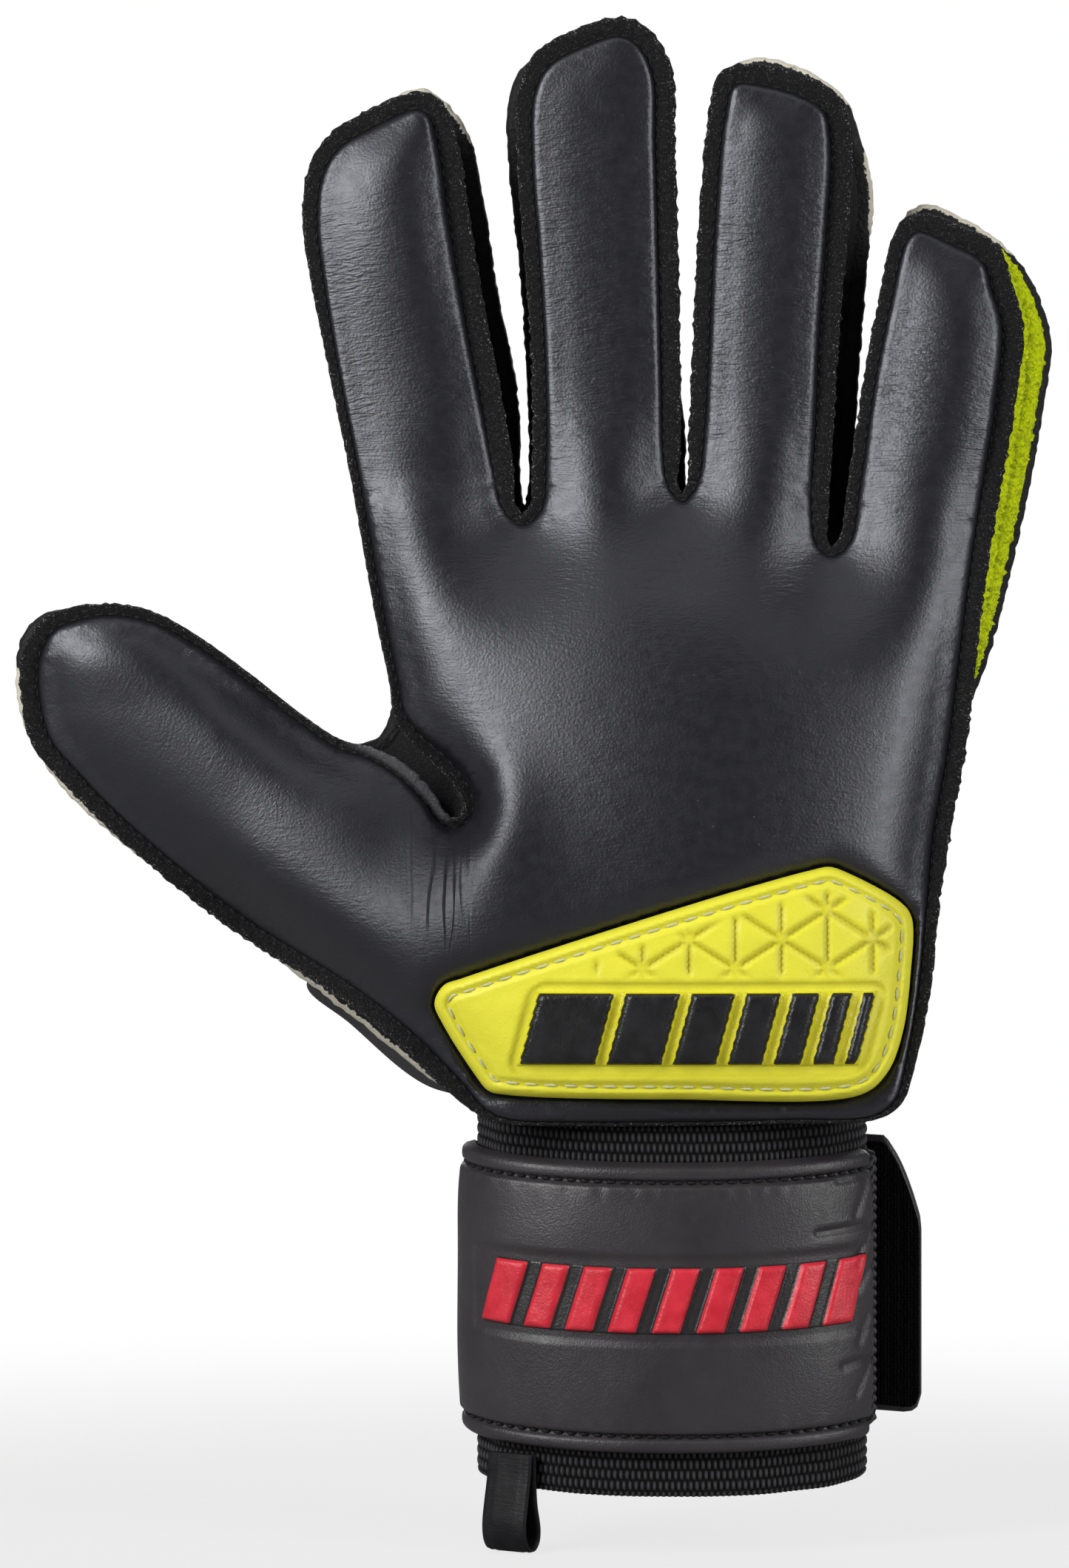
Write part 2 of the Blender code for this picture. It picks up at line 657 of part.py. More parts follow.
wall("heel_gusset", *[clipped(run, WALL_FOOT, 999.0) for run in thumb_edge], FLEECE)


def round_wrist(grow_x, grow_y, degrees):
    """Points round the cuff, moved out from its outer face; 270 degrees is the back of the hand."""
    angle = np.radians(degrees)
    return np.column_stack(
        [WRIST_X + (CUFF_HALF[0] + grow_x) * np.cos(angle), (CUFF_HALF[1] + grow_y) * np.sin(angle)]
    )


def at_wrist(x, y, z):
    return (x, y, z + WRIST_TILT * y)


def band(name, start, end, under, thick, low, high, finish, holder=None):
    """A band on the cuff, between two angles."""
    turn = np.linspace(start, end, max(2, math.ceil(abs(end - start) / 7.0)))
    inner = round_wrist(under, under, turn)
    outer = round_wrist(under + thick, under + thick, turn)
    edges = np.full(len(turn), low), np.full(len(turn), high)
    return ribbon(name, inner, outer, *edges, at_wrist, finish, holder)


# The wrist.
turn = np.arange(0.0, 360.0, 7.5)
ribbon(
    "cuff",
    round_wrist(-CUFF_WALL, -CUFF_WALL, turn),
    round_wrist(0.0, 0.0, turn),
    np.full(len(turn), CUFF_LOW),
    np.full(len(turn), CUFF_HIGH),
    at_wrist,
    KNIT,
    closed=True,
)
clear = GAP + 0.1
inner_low = STRAP_LOW + BINDING + GAP
inner_high = STRAP_HIGH - BINDING - GAP
turn = np.linspace(STRAP_START, STRAP_END, 25)
crown = [(0.0, inner_low), (STRAP_THICK, inner_low)]
for k in range(1, 6):
    share = k / 6
    swell = 4 * share * (1 - share) * STRAP_CROWN
    crown.append((STRAP_THICK + swell, inner_low + share * (inner_high - inner_low)))
crown += [(STRAP_THICK, inner_high), (0.0, inner_high)]
rings = [round_wrist(clear + out, clear + out, turn) for out, z in crown]
padding = [[at_wrist(*ring[i], z) for ring, (out, z) in zip(rings, crown)] for i in range(len(turn))]
swept("strap_band", padding, CHARCOAL)
strap_turn = (STRAP_START, STRAP_END)
band("strap_lower_binding", *strap_turn, clear, STRAP_THICK, STRAP_LOW, inner_low - GAP, CHARCOAL)
band("strap_upper_binding", *strap_turn, clear, STRAP_THICK, inner_high + GAP, STRAP_HIGH, CHARCOAL)
bar_under = clear + STRAP_THICK + STRAP_CROWN + GAP
band("strap_bar", *STRAP_BAR_TURN, bar_under, STRAP_BAR_THICK, *STRAP_BAR_SPAN, RED)
band("strap_tape", STRAP_END + 0.8, TAPE_END, clear, TAPE_THICK, *TAPE_SPAN, KNIT)
band("loop_patch", *LOOP_PATCH_TURN, GAP, PATCH_THICK, *LOOP_PATCH_SPAN, KNIT)

# The free run of the strap: round the palm side, then straight off past the other edge.
under_flap = 2 * PATCH_THICK + 3 * GAP
turn = np.linspace(*FLAP_TURN, 18)
inner = round_wrist(clear, under_flap, turn)
outer = round_wrist(clear + STRAP_THICK, under_flap + STRAP_THICK, turn)
onward = inner[-1] - inner[-2]
onward /= np.linalg.norm(onward)
sideways = np.array([-onward[1], onward[0]])
tip_from = inner[-1]
reach = (FLAP_REACH - tip_from[0]) / onward[0]
tip_steps = np.array([0.25, 0.5, 0.78, 0.9, 0.97, 1.0]) * reach
tip_inner = tip_from + tip_steps[:, None] * onward
tip_outer = tip_inner + sideways * STRAP_THICK
flap_high = STRAP_HIGH - FLAP_DROP
tip_high = flap_high - np.array([0.0, 0.0, 0.0, 6.0, 11.5, 15.0])
tip_low = STRAP_LOW + np.array([0.0, 0.0, 0.0, 0.0, 0.6, 2.0])
flap_x = WRIST_X - CUFF_HALF[0] - clear - STRAP_THICK - STRAP_CROWN - 0.2
flap_pivot = pivot("strap_pivot", (flap_x, 1.2, 0.0))
ribbon(
    "strap_flap",
    np.vstack([inner, tip_inner]),
    np.vstack([outer, tip_outer]),
    np.concatenate([np.full(len(turn), STRAP_LOW), tip_low]),
    np.concatenate([np.full(len(turn), flap_high), tip_high]),
    at_wrist,
    CHARCOAL,
    flap_pivot,
)
turn = np.linspace(*HOOK_PATCH_TURN, 9)
hook_under = PATCH_THICK + 2 * GAP
ribbon(
    "hook_patch",
    round_wrist(clear - PATCH_THICK - GAP, hook_under, turn),
    round_wrist(clear - GAP, hook_under + PATCH_THICK, turn),
    np.full(len(turn), HOOK_PATCH_SPAN[0]),
    np.full(len(turn), HOOK_PATCH_SPAN[1]),
    at_wrist,
    KNIT,
    flap_pivot,
)

# The pull loop: a doubled tape on the front of the cuff, standing square to it.
angle = math.radians(PULL_TURN)
seat = round_wrist(0.0, 0.0, np.array([PULL_TURN]))[0]
facing = np.array([math.cos(angle) / CUFF_HALF[0], math.sin(angle) / CUFF_HALF[1]])
facing /= np.linalg.norm(facing)
beside = np.array([-facing[1], facing[0]])
path = np.array(PULL_PATH)
along = np.gradient(path, axis=0)
along /= np.linalg.norm(along, axis=1)[:, None]
across = np.stack([-along[:, 1], along[:, 0]], axis=1) * PULL_THICK / 2


def at_loop(out, z, side):
    spot = seat + facing * out + beside * side
    return (spot[0], spot[1], z)


loop_top = seat + facing * 2.8
ribbon(
    "pull_loop",
    path + across,
    path - across,
    np.full(len(path), -PULL_WIDTH / 2),
    np.full(len(path), PULL_WIDTH / 2),
    at_loop,
    KNIT,
    pivot("loop_pivot", (loop_top[0], loop_top[1], PULL_TOP)),
)
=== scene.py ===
"""The looks of a goalkeeper glove for a right hand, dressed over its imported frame.

The frame has the fingers up +Z, the back of the hand to -Y and the thumb at -X. Shapes are worked out in
millimetres and become metres when they turn into meshes.
"""

import math

import bpy
import numpy as np
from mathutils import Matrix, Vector
from mathutils.bvhtree import BVHTree
from mathutils.geometry import delaunay_2d_cdt


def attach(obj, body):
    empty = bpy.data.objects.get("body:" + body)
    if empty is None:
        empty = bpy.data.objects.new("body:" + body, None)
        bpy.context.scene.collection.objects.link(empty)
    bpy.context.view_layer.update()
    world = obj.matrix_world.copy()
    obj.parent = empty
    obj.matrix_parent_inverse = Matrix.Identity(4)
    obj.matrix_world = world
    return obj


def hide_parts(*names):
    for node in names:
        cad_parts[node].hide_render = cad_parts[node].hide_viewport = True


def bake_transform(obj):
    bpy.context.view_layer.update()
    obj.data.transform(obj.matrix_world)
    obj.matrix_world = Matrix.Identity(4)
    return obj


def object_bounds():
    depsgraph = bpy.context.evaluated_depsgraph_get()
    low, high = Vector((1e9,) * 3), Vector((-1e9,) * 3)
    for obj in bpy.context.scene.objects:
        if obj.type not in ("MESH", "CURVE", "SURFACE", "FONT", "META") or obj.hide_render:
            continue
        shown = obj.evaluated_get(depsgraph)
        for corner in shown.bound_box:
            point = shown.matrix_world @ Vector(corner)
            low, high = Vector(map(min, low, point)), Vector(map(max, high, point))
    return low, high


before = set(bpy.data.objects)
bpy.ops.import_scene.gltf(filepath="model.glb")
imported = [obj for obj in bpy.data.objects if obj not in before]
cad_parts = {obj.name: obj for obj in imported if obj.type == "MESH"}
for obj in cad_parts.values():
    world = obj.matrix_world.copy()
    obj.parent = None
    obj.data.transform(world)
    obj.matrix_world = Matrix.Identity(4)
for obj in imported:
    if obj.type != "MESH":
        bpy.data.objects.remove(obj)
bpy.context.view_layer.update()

MM = 0.001

# The seam round the back panel, clockwise: x, z, and the width of the flange outside it there.
# Each run starts at the bottom of the crotch before its finger.
PANEL = {
    "thumb": [
        (-33.8, 69.7, 1.2), (-38.7, 75.1, 2.8), (-46.5, 82.9, 3.0), (-57.0, 90.9, 3.0),
        (-78.0, 103.7, 3.0), (-99.1, 121.0, 3.0), (-107.0, 129.1, 3.1), (-111.8, 134.9, 3.2),
        (-113.7, 142.1, 3.3), (-113.6, 149.3, 3.2), (-111.0, 154.3, 2.8), (-106.0, 156.4, 2.4),
        (-100.1, 157.1, 2.1), (-93.5, 155.9, 1.8), (-86.2, 152.2, 1.5), (-77.0, 145.8, 1.3),
        (-67.7, 138.5, 1.3), (-60.2, 133.5, 1.5), (-54.6, 131.6, 2.0), (-49.3, 128.3, 2.4),
        (-44.7, 123.7, 2.3), (-42.5, 120.6, 2.0),
    ],
    "index": [
        (-39.9, 119.3, 1.8), (-37.1, 120.4, 1.9), (-36.1, 123.7, 2.1), (-37.8, 128.0, 2.4),
        (-41.5, 132.2, 2.4), (-45.9, 136.0, 2.2), (-48.6, 139.7, 1.9), (-49.6, 144.7, 1.5),
        (-52.0, 155.9, 1.5), (-56.8, 182.3, 1.5), (-60.4, 200.8, 1.7), (-63.1, 216.7, 2.2),
        (-64.3, 227.3, 2.5), (-63.5, 235.2, 2.8), (-60.6, 240.4, 3.0), (-54.1, 244.5, 3.1),
        (-46.6, 247.6, 3.2), (-44.4, 246.6, 3.4), (-42.6, 240.5, 3.7), (-40.7, 227.3, 3.8),
        (-37.6, 208.8, 3.9), (-34.3, 191.6, 3.9), (-32.6, 182.3, 3.6), (-30.9, 176.0, 2.3),
    ],
    "middle": [
        (-27.6, 173.1, 1.9), (-24.3, 175.7, 2.2), (-23.4, 185.0, 2.5), (-23.5, 200.8, 2.5),
        (-24.7, 222.0, 2.6), (-25.9, 237.9, 2.6), (-25.6, 249.8, 3.0), (-23.1, 255.1, 3.3),
        (-17.2, 258.6, 3.4), (-10.2, 260.7, 3.4), (-7.0, 259.1, 3.5), (-4.3, 253.8, 3.6),
        (-3.8, 240.5, 3.6), (-2.8, 200.8, 3.5), (-2.4, 185.0, 3.0), (-1.6, 180.1, 1.8),
    ],
    "ring": [
        (0.9, 177.3, 1.3), (3.4, 180.1, 1.8), (4.7, 188.9, 2.7), (5.6, 203.5, 2.9),
        (6.7, 226.0, 2.9), (8.6, 246.5, 3.0), (10.3, 251.9, 3.4), (15.2, 251.9, 3.7),
        (22.5, 249.8, 3.8), (26.3, 247.2, 3.8), (27.5, 241.2, 3.9), (26.8, 226.0, 3.8),
        (25.4, 207.4, 3.6), (24.6, 190.2, 3.3), (23.9, 175.7, 3.0), (24.8, 169.5, 2.1),
    ],
    "pinky": [
        (27.4, 167.5, 1.7), (30.5, 169.8, 2.1), (32.6, 181.0, 2.2), (35.4, 199.5, 2.1),
        (38.1, 212.7, 2.2), (41.0, 224.0, 2.6), (42.9, 225.7, 3.2), (48.8, 223.6, 3.7),
        (54.5, 220.3, 3.9), (56.2, 215.1, 3.9), (57.9, 208.8, 3.9), (56.8, 195.5, 3.6),
        (54.3, 179.7, 3.3), (52.2, 166.5, 3.1), (50.0, 150.1, 3.1), (47.7, 133.1, 3.2),
        (44.8, 116.8, 3.0), (43.6, 103.5, 2.1), (42.4, 91.8, 2.0), (40.2, 79.6, 1.6),
        (37.8, 71.6, 1.2),
    ],
    "wrist": [
        (33.9, 68.9, 0.7), (18.3, 68.2, 0.6), (-2.4, 67.8, 0.6), (-20.6, 67.8, 0.6),
        (-29.6, 68.2, 0.7),
    ],
}

# Points of the palm sheet's edge: x, z. It sits a little to the little-finger side of the back.
PALM = {
    "thumb": [
        (-37.5, 69.4), (-43.8, 73.1), (-57.4, 83.9), (-71.7, 94.7), (-86.1, 105.4),
        (-100.3, 116.2), (-111.8, 127.0), (-118.2, 137.8), (-119.7, 145.8), (-118.6, 153.9),
        (-114.6, 158.0), (-104.0, 159.2), (-96.4, 158.2), (-90.4, 155.5), (-72.3, 142.1),
        (-64.5, 136.7),
    ],
    "index": [
        (-58.2, 134.3), (-53.8, 135.6), (-51.8, 139.5), (-51.2, 145.0), (-53.2, 156.0),
        (-57.6, 182.0), (-61.3, 200.8), (-65.0, 219.0), (-66.0, 228.0), (-64.6, 237.0),
        (-60.5, 243.5), (-54.0, 249.3), (-49.5, 252.6), (-45.4, 253.4), (-41.4, 250.8),
        (-37.5, 245.5), (-34.9, 234.7), (-31.4, 213.2), (-29.0, 202.4), (-28.0, 192.0),
        (-27.9, 182.0),
    ],
    "middle": [
        (-27.2, 178.0), (-26.5, 182.0), (-26.5, 192.0), (-27.0, 203.0), (-27.8, 217.0),
        (-29.1, 229.3), (-30.4, 243.0), (-30.0, 252.0), (-27.5, 257.5), (-20.0, 261.5),
        (-11.0, 264.8), (-5.5, 263.2), (-2.0, 257.0), (-0.9, 245.0), (-0.6, 225.0), (0.2, 205.0),
        (2.0, 192.0), (2.1, 182.0),
    ],
    "ring": [
        (2.8, 178.0), (3.5, 182.0), (3.6, 192.0), (3.9, 205.0), (5.2, 226.0), (6.9, 246.0),
        (8.4, 254.5), (13.3, 258.9), (19.0, 258.6), (26.5, 255.5), (31.5, 250.9), (34.3, 243.0),
        (36.2, 234.7), (35.2, 222.0), (34.0, 207.0), (33.0, 192.0), (32.1, 180.0),
    ],
    "pinky": [
        (32.5, 175.0), (33.7, 180.0), (34.6, 192.0), (36.2, 203.0), (38.4, 216.0), (40.2, 226.0),
        (42.5, 231.0), (46.0, 232.5), (51.0, 230.7), (58.0, 226.6), (63.5, 220.8), (67.2, 213.5),
        (68.6, 206.5), (67.2, 196.0), (65.2, 184.0), (61.0, 164.7), (56.8, 149.0), (50.6, 133.0),
        (47.5, 117.0), (45.6, 105.0), (43.8, 90.0), (41.2, 79.0), (38.2, 72.5),
    ],
    "wrist": [
        (34.0, 69.2), (18.0, 68.6), (-2.0, 68.2), (-20.0, 68.2), (-31.0, 68.4),
    ],
}

# Where each finger bends: the two ends of the crease, left to right with the finger pointing up.
CREASE = {
    "thumb": ((-81.3, 106.4), (-63.8, 135.8)),
    "index": ((-57.6, 186.3), (-33.8, 188.7)),
    "middle": ((-23.4, 186.8), (-2.5, 187.6)),
    "ring": ((4.6, 187.9), (24.5, 186.7)),
    "pinky": ((32.8, 183.5), (54.4, 180.4)),
}

# The moulded pad above the wrist: x, z, clockwise.
PAD = [
    (-42.9, 88.7), (-41.3, 91.9), (-38.0, 93.2), (5.4, 107.2), (23.6, 112.2), (26.0, 112.6),
    (28.2, 112.0), (39.0, 106.2), (40.9, 103.6), (40.6, 93.2), (39.0, 82.8), (36.2, 76.3),
    (31.6, 72.7), (-2.4, 72.0), (-30.0, 72.7), (-33.5, 73.4), (-35.7, 76.0), (-41.3, 84.8),
]
BAR = [(-28.5, 78.0), (-25.0, 91.0), (34.5, 91.0), (31.0, 78.0)]
BAR_RISE = 1.2

# The patch over the thumb-side heel of the palm: x, z, clockwise.
HEEL = [
    (-43.5, 71.4), (-59.4, 83.6), (-67.0, 90.4), (-62.0, 96.0), (-50.0, 97.0), (-38.0, 92.0),
    (-30.0, 82.0), (-28.0, 71.4),
]

# Depths in y: the palm's inner face and thickness, and the base sheet's thickness.
PALM_INNER = 17.5
PALM_THICK = 5.0
BASE_THICK = 1.5

# The base sheet drops from its level at the fingertips to the wrist.
BACK_Y = 1.0
BACK_TOP = 250.0
BACK_LONG = 180.0
BACK_DROP = 20.0
BACK_CURVE = 1.7
# Under the thumb it lies flat: left of an x and below a z, each with the run over which this comes in.
THUMB_Y = -1.0
THUMB_STEP = (-45.0, 35.0)
THUMB_TOP = (170.0, 30.0)

FINGERS = list(CREASE)
HAND = len(FINGERS)
# How far below its crease each finger's pieces part from the hand's.
CUT = {"thumb": -4.0, "index": -8.0, "middle": -7.0, "ring": -7.0, "pinky": -7.0}


def smooth(value):
    """An even rise from none at 0 to full at 1."""
    value = np.clip(value, 0.0, 1.0)
    return value * value * (3.0 - 2.0 * value)


def bell(off, spread):
    """One at the middle, falling away over a spread."""
    return np.exp(-((off / spread) ** 2))


def roll(away, width):
    """A quarter ellipse from an edge up to full height a width away."""
    share = np.clip(away / width, 0.0, 1.0)
    return np.sqrt(share * (2.0 - share))


def dent(off, half):
    """A rounded groove: full on its line, none a half width off it."""
    return smooth(1.0 - np.abs(off) / half)


def unit(vectors):
    return vectors / np.linalg.norm(vectors, axis=-1, keepdims=True)


def lifted(flat, y):
    """Points from spots in x and z, and their y."""
    return np.column_stack([flat[:, 0], y, flat[:, 1]])


def travelled(path):
    """How far along a path each of its points lies."""
    return np.concatenate([[0.0], np.cumsum(np.linalg.norm(np.diff(path, axis=0), axis=1))])


def along_path(way, travel, path):
    """The values of a path at ways along it."""
    return np.column_stack([np.interp(way, travel, column) for column in path.T])


def waves(points, length, seed, count=14):
    """Even noise of about unit size, with bumps about one length across."""
    rng = np.random.default_rng(seed)
    points = np.asarray(points, float)
    ways = unit(rng.normal(size=(count, points.shape[1])))
    ways *= 2.0 * math.pi / length * rng.uniform(0.7, 1.4, count)[:, None]
    return np.sin(points @ ways.T + rng.uniform(0.0, 2.0 * math.pi, count)).sum(1) / math.sqrt(count / 2)


def thumb_share(flat, start, run):
    """How far spots lie into the thumb: not at all at a start in x, wholly a run further out."""
    top, fade = THUMB_TOP
    return smooth((start - flat[:, 0]) / run) * smooth((top - flat[:, 1]) / fade)


def hand_level(flat):
    """The y of the base sheet's outer face if there were no thumb."""
    return BACK_Y - BACK_DROP * np.clip((BACK_TOP - flat[:, 1]) / BACK_LONG, 0.0, 1.1) ** BACK_CURVE


def back_face(flat):
    """The y of the base sheet's outer face."""
    level = hand_level(flat)
    return level + (THUMB_Y - level) * thumb_share(flat, *THUMB_STEP)


def spline(rows, step):
    """A closed curve through the rows, and where each row falls on it."""
    rows = np.array(rows, float)
    ahead = np.roll(rows, -1, axis=0) - rows
    length = np.linalg.norm(ahead[:, :2], axis=1)
    pace = np.sqrt(length)[:, None]
    slope = ahead / pace
    last_pace = np.roll(pace, 1, axis=0)
    tangent = (np.roll(slope, 1, axis=0) * pace + slope * last_pace) / (pace + last_pace)
    points = []
    starts = []
    for i in range(len(rows)):
        j = (i + 1) % len(rows)
        starts.append(len(points))
        pieces = max(2, math.ceil(length[i] / step))
        for k in range(pieces):
            t = k / pieces
            points.append(
                (2 * t**3 - 3 * t**2 + 1) * rows[i]
                + (t**3 - 2 * t**2 + t) * pace[i] * tangent[i]
                + (3 * t**2 - 2 * t**3) * rows[j]
                + (t**3 - t**2) * pace[i] * tangent[j]
            )
    return np.array(points), starts


def outline(table, step):
    """The closed curve of a table of runs, and the runs as slices of it."""
    rows = []
    first = {}
    for name, run in table.items():
        first[name] = len(rows)
        rows.extend(run)
    points, starts = spline(rows, step)
    begins = [starts[i] for i in first.values()] + [len(points)]
    return points, dict(zip(first, zip(begins, begins[1:])))


def outward(points):
    """Unit vectors out of a closed clockwise curve."""
    along = unit(np.roll(points, -1, axis=0)[:, :2] - np.roll(points, 1, axis=0)[:, :2])
    return np.stack([-along[:, 1], along[:, 0]], axis=1)


def divided(a, b, longest):
    """Points from a to b, both left out."""
    count = max(1, math.ceil(np.linalg.norm(np.subtract(b, a)) / longest))
    return [np.add(a, np.subtract(b, a) * k / count)[None] for k in range(1, count)]


class Crease:
    """The line a finger bends on."""

    def __init__(self, left, right):
        self.middle = (np.array(left) + np.array(right)) / 2
        across = np.subtract(right, left)
        self.half = np.linalg.norm(across) / 2
        self.across = across / (2 * self.half)
        self.up = np.array([-self.across[1], self.across[0]])

    def height(self, points):
        return (np.asarray(points)[:, :2] - self.middle) @ self.up

    def side(self, points):
        return (np.asarray(points)[:, :2] - self.middle) @ self.across

    def tip(self, run):
        """The point of a finger's outline halfway across its end."""
        height = self.height(run)
        top = np.flatnonzero(height > height.max() - 12.0)
        side = self.side(run)[top]
        return top[np.argmin(np.abs(side - (side.min() + side.max()) / 2))]

    def split(self, run, level):
        """A run of outline cut into what lies before, in and after the finger above a level."""
        height = self.height(run) - level
        inner = np.flatnonzero(height > 0)
        first = inner[0]
        last = inner[-1]

        def between(i, j):
            return run[i] + (run[j] - run[i]) * height[i] / (height[i] - height[j])

        left = between(first - 1, first)
        right = between(last, last + 1)
        before = np.vstack([run[:first], left])
        finger = np.vstack([left, run[first : last + 1], right])
        behind = np.vstack([right, run[last + 1 :]])
        return before, finger, behind


creases = {name: Crease(*ends) for name, ends in CREASE.items()}


def run_of(line, runs, name):
    """One run of a closed line, up to and with the first point of the next."""
    begin, end = runs[name]
    return np.vstack([line[begin:end], line[end % len(line)]])


def part_loops(line, runs, step):
    """The loop of each finger and last of the hand; neighbours share the points of the line between them."""
    loops = []
    hand = []
    for name, crease in creases.items():
        before, finger, behind = crease.split(run_of(line, runs, name), CUT[name])
        across = divided(before[-1], behind[0], step)
        loops.append(np.vstack([finger] + across[::-1]))
        hand += [before] + across + [behind[:-1]]
    hand.append(run_of(line, runs, "wrist")[:-1])
    return loops + [np.vstack(hand)]


def inside(loop, points):
    found = np.zeros(len(points), bool)
    for a, b in zip(loop, np.roll(loop, -1, axis=0)):
        if a[1] == b[1]:
            continue
        between = (a[1] > points[:, 1]) != (b[1] > points[:, 1])
        found ^= between & (points[:, 0] < a[0] + (points[:, 1] - a[1]) * (b[0] - a[0]) / (b[1] - a[1]))
    return found


def distance(loop, points, closed=True):
    """How far each point is from a line."""
    a = loop if closed else loop[:-1]
    along = (np.roll(loop, -1, axis=0) if closed else loop[1:]) - a
    size = np.maximum((along**2).sum(1), 1e-12)
    found = np.empty(len(points))
    for k in range(0, len(points), 1500):
        off = points[k : k + 1500, None, :] - a[None]
        share = np.clip((off * along).sum(2) / size, 0.0, 1.0)
        off -= share[..., None] * along
        found[k : k + 1500] = np.sqrt((off**2).sum(2).min(1))
    return found


def hexes(loop, grid):
    """Spots of a honeycomb inside a loop."""
    low = loop.min(0)
    high = loop.max(0)
    columns = np.arange(low[0], high[0] + grid, grid)
    rows = np.arange(low[1], high[1] + grid, grid * math.sqrt(0.75))
    spots = np.array([(x + grid / 2 * (k % 2), z) for k, z in enumerate(rows) for x in columns])
    return spots[inside(loop, spots)]


def twice_area(flat, faces):
    """Twice the area of triangles, negative where they go round the other way."""
    a, b, c = (flat[faces[:, k]] for k in range(3))
    return (b[:, 0] - a[:, 0]) * (c[:, 1] - a[:, 1]) - (b[:, 1] - a[:, 1]) * (c[:, 0] - a[:, 0])


def fill(loop, spots):
    """Triangles over a loop and the spots in it, facing -Y."""
    flat = [Vector(p) for p in np.vstack([loop, spots])]
    edges = [(k, (k + 1) % len(loop)) for k in range(len(loop))]
    found = delaunay_2d_cdt(flat, edges, [], 1, 1e-6)
    flat = np.array(found[0])
    faces = np.array([f for f in found[2] if len(f) == 3])
    turn = twice_area(flat, faces)
    faces[turn < 0] = faces[turn < 0][:, ::-1]
    middles = flat[faces].mean(1)
    return flat, faces[inside(loop, middles) & (np.abs(turn) > 1e-9)]


def filled(loop, grid, margin, depths=()):
    """Triangles over a loop: rows of points at depths inside it, and a honeycomb further in than a margin."""
    spots = hexes(loop, grid)
    lanes = [loop - outward(loop) * depth for depth in depths]
    return fill(loop, np.vstack(lanes + [spots[distance(loop, spots) > margin]]))


def point_key(point):
    """By this a point is known again."""
    return round(point[0], 3), round(point[1], 3)


def patchwork(line, runs, lanes, grid, edge, step):
    """Triangles over a whole outline, in parts that meet on the lines where the fingers leave the hand.

    Lanes are more rows of points along the outline; a honeycomb fills what is further in than edge.
    """
    flat = []
    faces = []
    part = []
    known = {}
    for k, loop in enumerate(part_loops(line, runs, step)):
        spots = []
        for lane in lanes:
            lane = lane[inside(loop, lane)]
            spots.append(lane[distance(loop, lane) > 0.2])
        field = hexes(loop, grid)
        field = field[distance(line, field) > edge]
        spots.append(field[distance(loop, field) > 0.45 * grid])
        points, made = fill(loop, np.vstack(spots))
        index = []
        for p in points:
            key = point_key(p)
            if key not in known:
                known[key] = len(flat)
                flat.append(p)
            index.append(known[key])
        faces.append(np.array(index)[made])
        part += [k] * len(made)
    return np.array(flat), np.vstack(faces), np.array(part)


def sides_of(faces):
    """The sides of all faces, each in the direction its face goes round."""
    count = faces.shape[1]
    return np.vstack([faces[:, [k, (k + 1) % count]] for k in range(count)])


def rim(faces):
    """The sides that only one face has."""
    sides = sides_of(faces)
    have = set(map(tuple, sides))
    return np.array([side for side in sides if (side[1], side[0]) not in have])


def normals_of(points, *groups):
    """Smooth normals of points from triangles and quads."""
    found = np.zeros_like(points)
    for faces in groups:
        a, b, c, d = (points[faces[:, k]] for k in (0, 1, 2, -1))
        flat = np.cross(c - a, d - b) if faces.shape[1] == 4 else np.cross(b - a, c - a)
        for k in range(faces.shape[1]):
            np.add.at(found, faces[:, k], flat)
    return found / np.maximum(np.linalg.norm(found, axis=1), 1e-12)[:, None]


def poisson(flat, faces):
    """How high a skin with unit swell stands over an outline that holds it down."""
    edges = np.unique(np.sort(sides_of(faces), axis=1), axis=0)
    i, j = edges.T
    area = np.abs(twice_area(flat, faces)) / 2
    load = np.zeros(len(flat))
    wide = np.zeros(len(edges))
    lookup = {tuple(e): k for k, e in enumerate(edges)}
    for k in range(3):
        np.add.at(load, faces[:, k], area / 3)
        # The half-cotangent of the corner facing each edge.
        p, q, r = (flat[faces[:, (k + m) % 3]] for m in range(3))
        one = p - r
        two = q - r
        cross = np.abs(one[:, 0] * two[:, 1] - one[:, 1] * two[:, 0])
        cot = (one * two).sum(1) / np.maximum(cross, 1e-9) / 2
        ends = np.sort(faces[:, [k, (k + 1) % 3]], axis=1)
        np.add.at(wide, [lookup[tuple(e)] for e in ends], cot)
    length = np.linalg.norm(flat[i] - flat[j], axis=1)
    wide = np.maximum(wide, 1e-3 / np.maximum(length, 0.05))
    free = np.ones(len(flat), bool)
    free[rim(faces).ravel()] = False

    def stiff(u):
        flow = wide * (u[i] - u[j])
        return (np.bincount(i, flow, len(flat)) - np.bincount(j, flow, len(flat))) * free

    # Conjugate gradients.
    u = np.zeros(len(flat))
    left = load * free
    way = left.copy()
    size = left @ left
    enough = 1e-12 * size
    for _ in range(600):
        push = stiff(way)
        step = size / (way @ push)
        u += step * way
        left -= step * push
        fresh = left @ left
        if fresh < enough:
            break
        way = left + fresh / size * way
        size = fresh
    return u


def evened(values, faces, free, rounds):
    """Values on a mesh, each drawn towards the mean of its neighbours as far as it is free to move."""
    pairs = sides_of(faces)
    pairs = np.vstack([pairs, pairs[:, ::-1]])
    count = np.maximum(np.bincount(pairs[:, 0], minlength=len(values)), 1)
    for _ in range(rounds):
        mean = np.bincount(pairs[:, 0], values[pairs[:, 1]], minlength=len(values)) / count
        values = values + 0.5 * free * (mean - values)
    return values


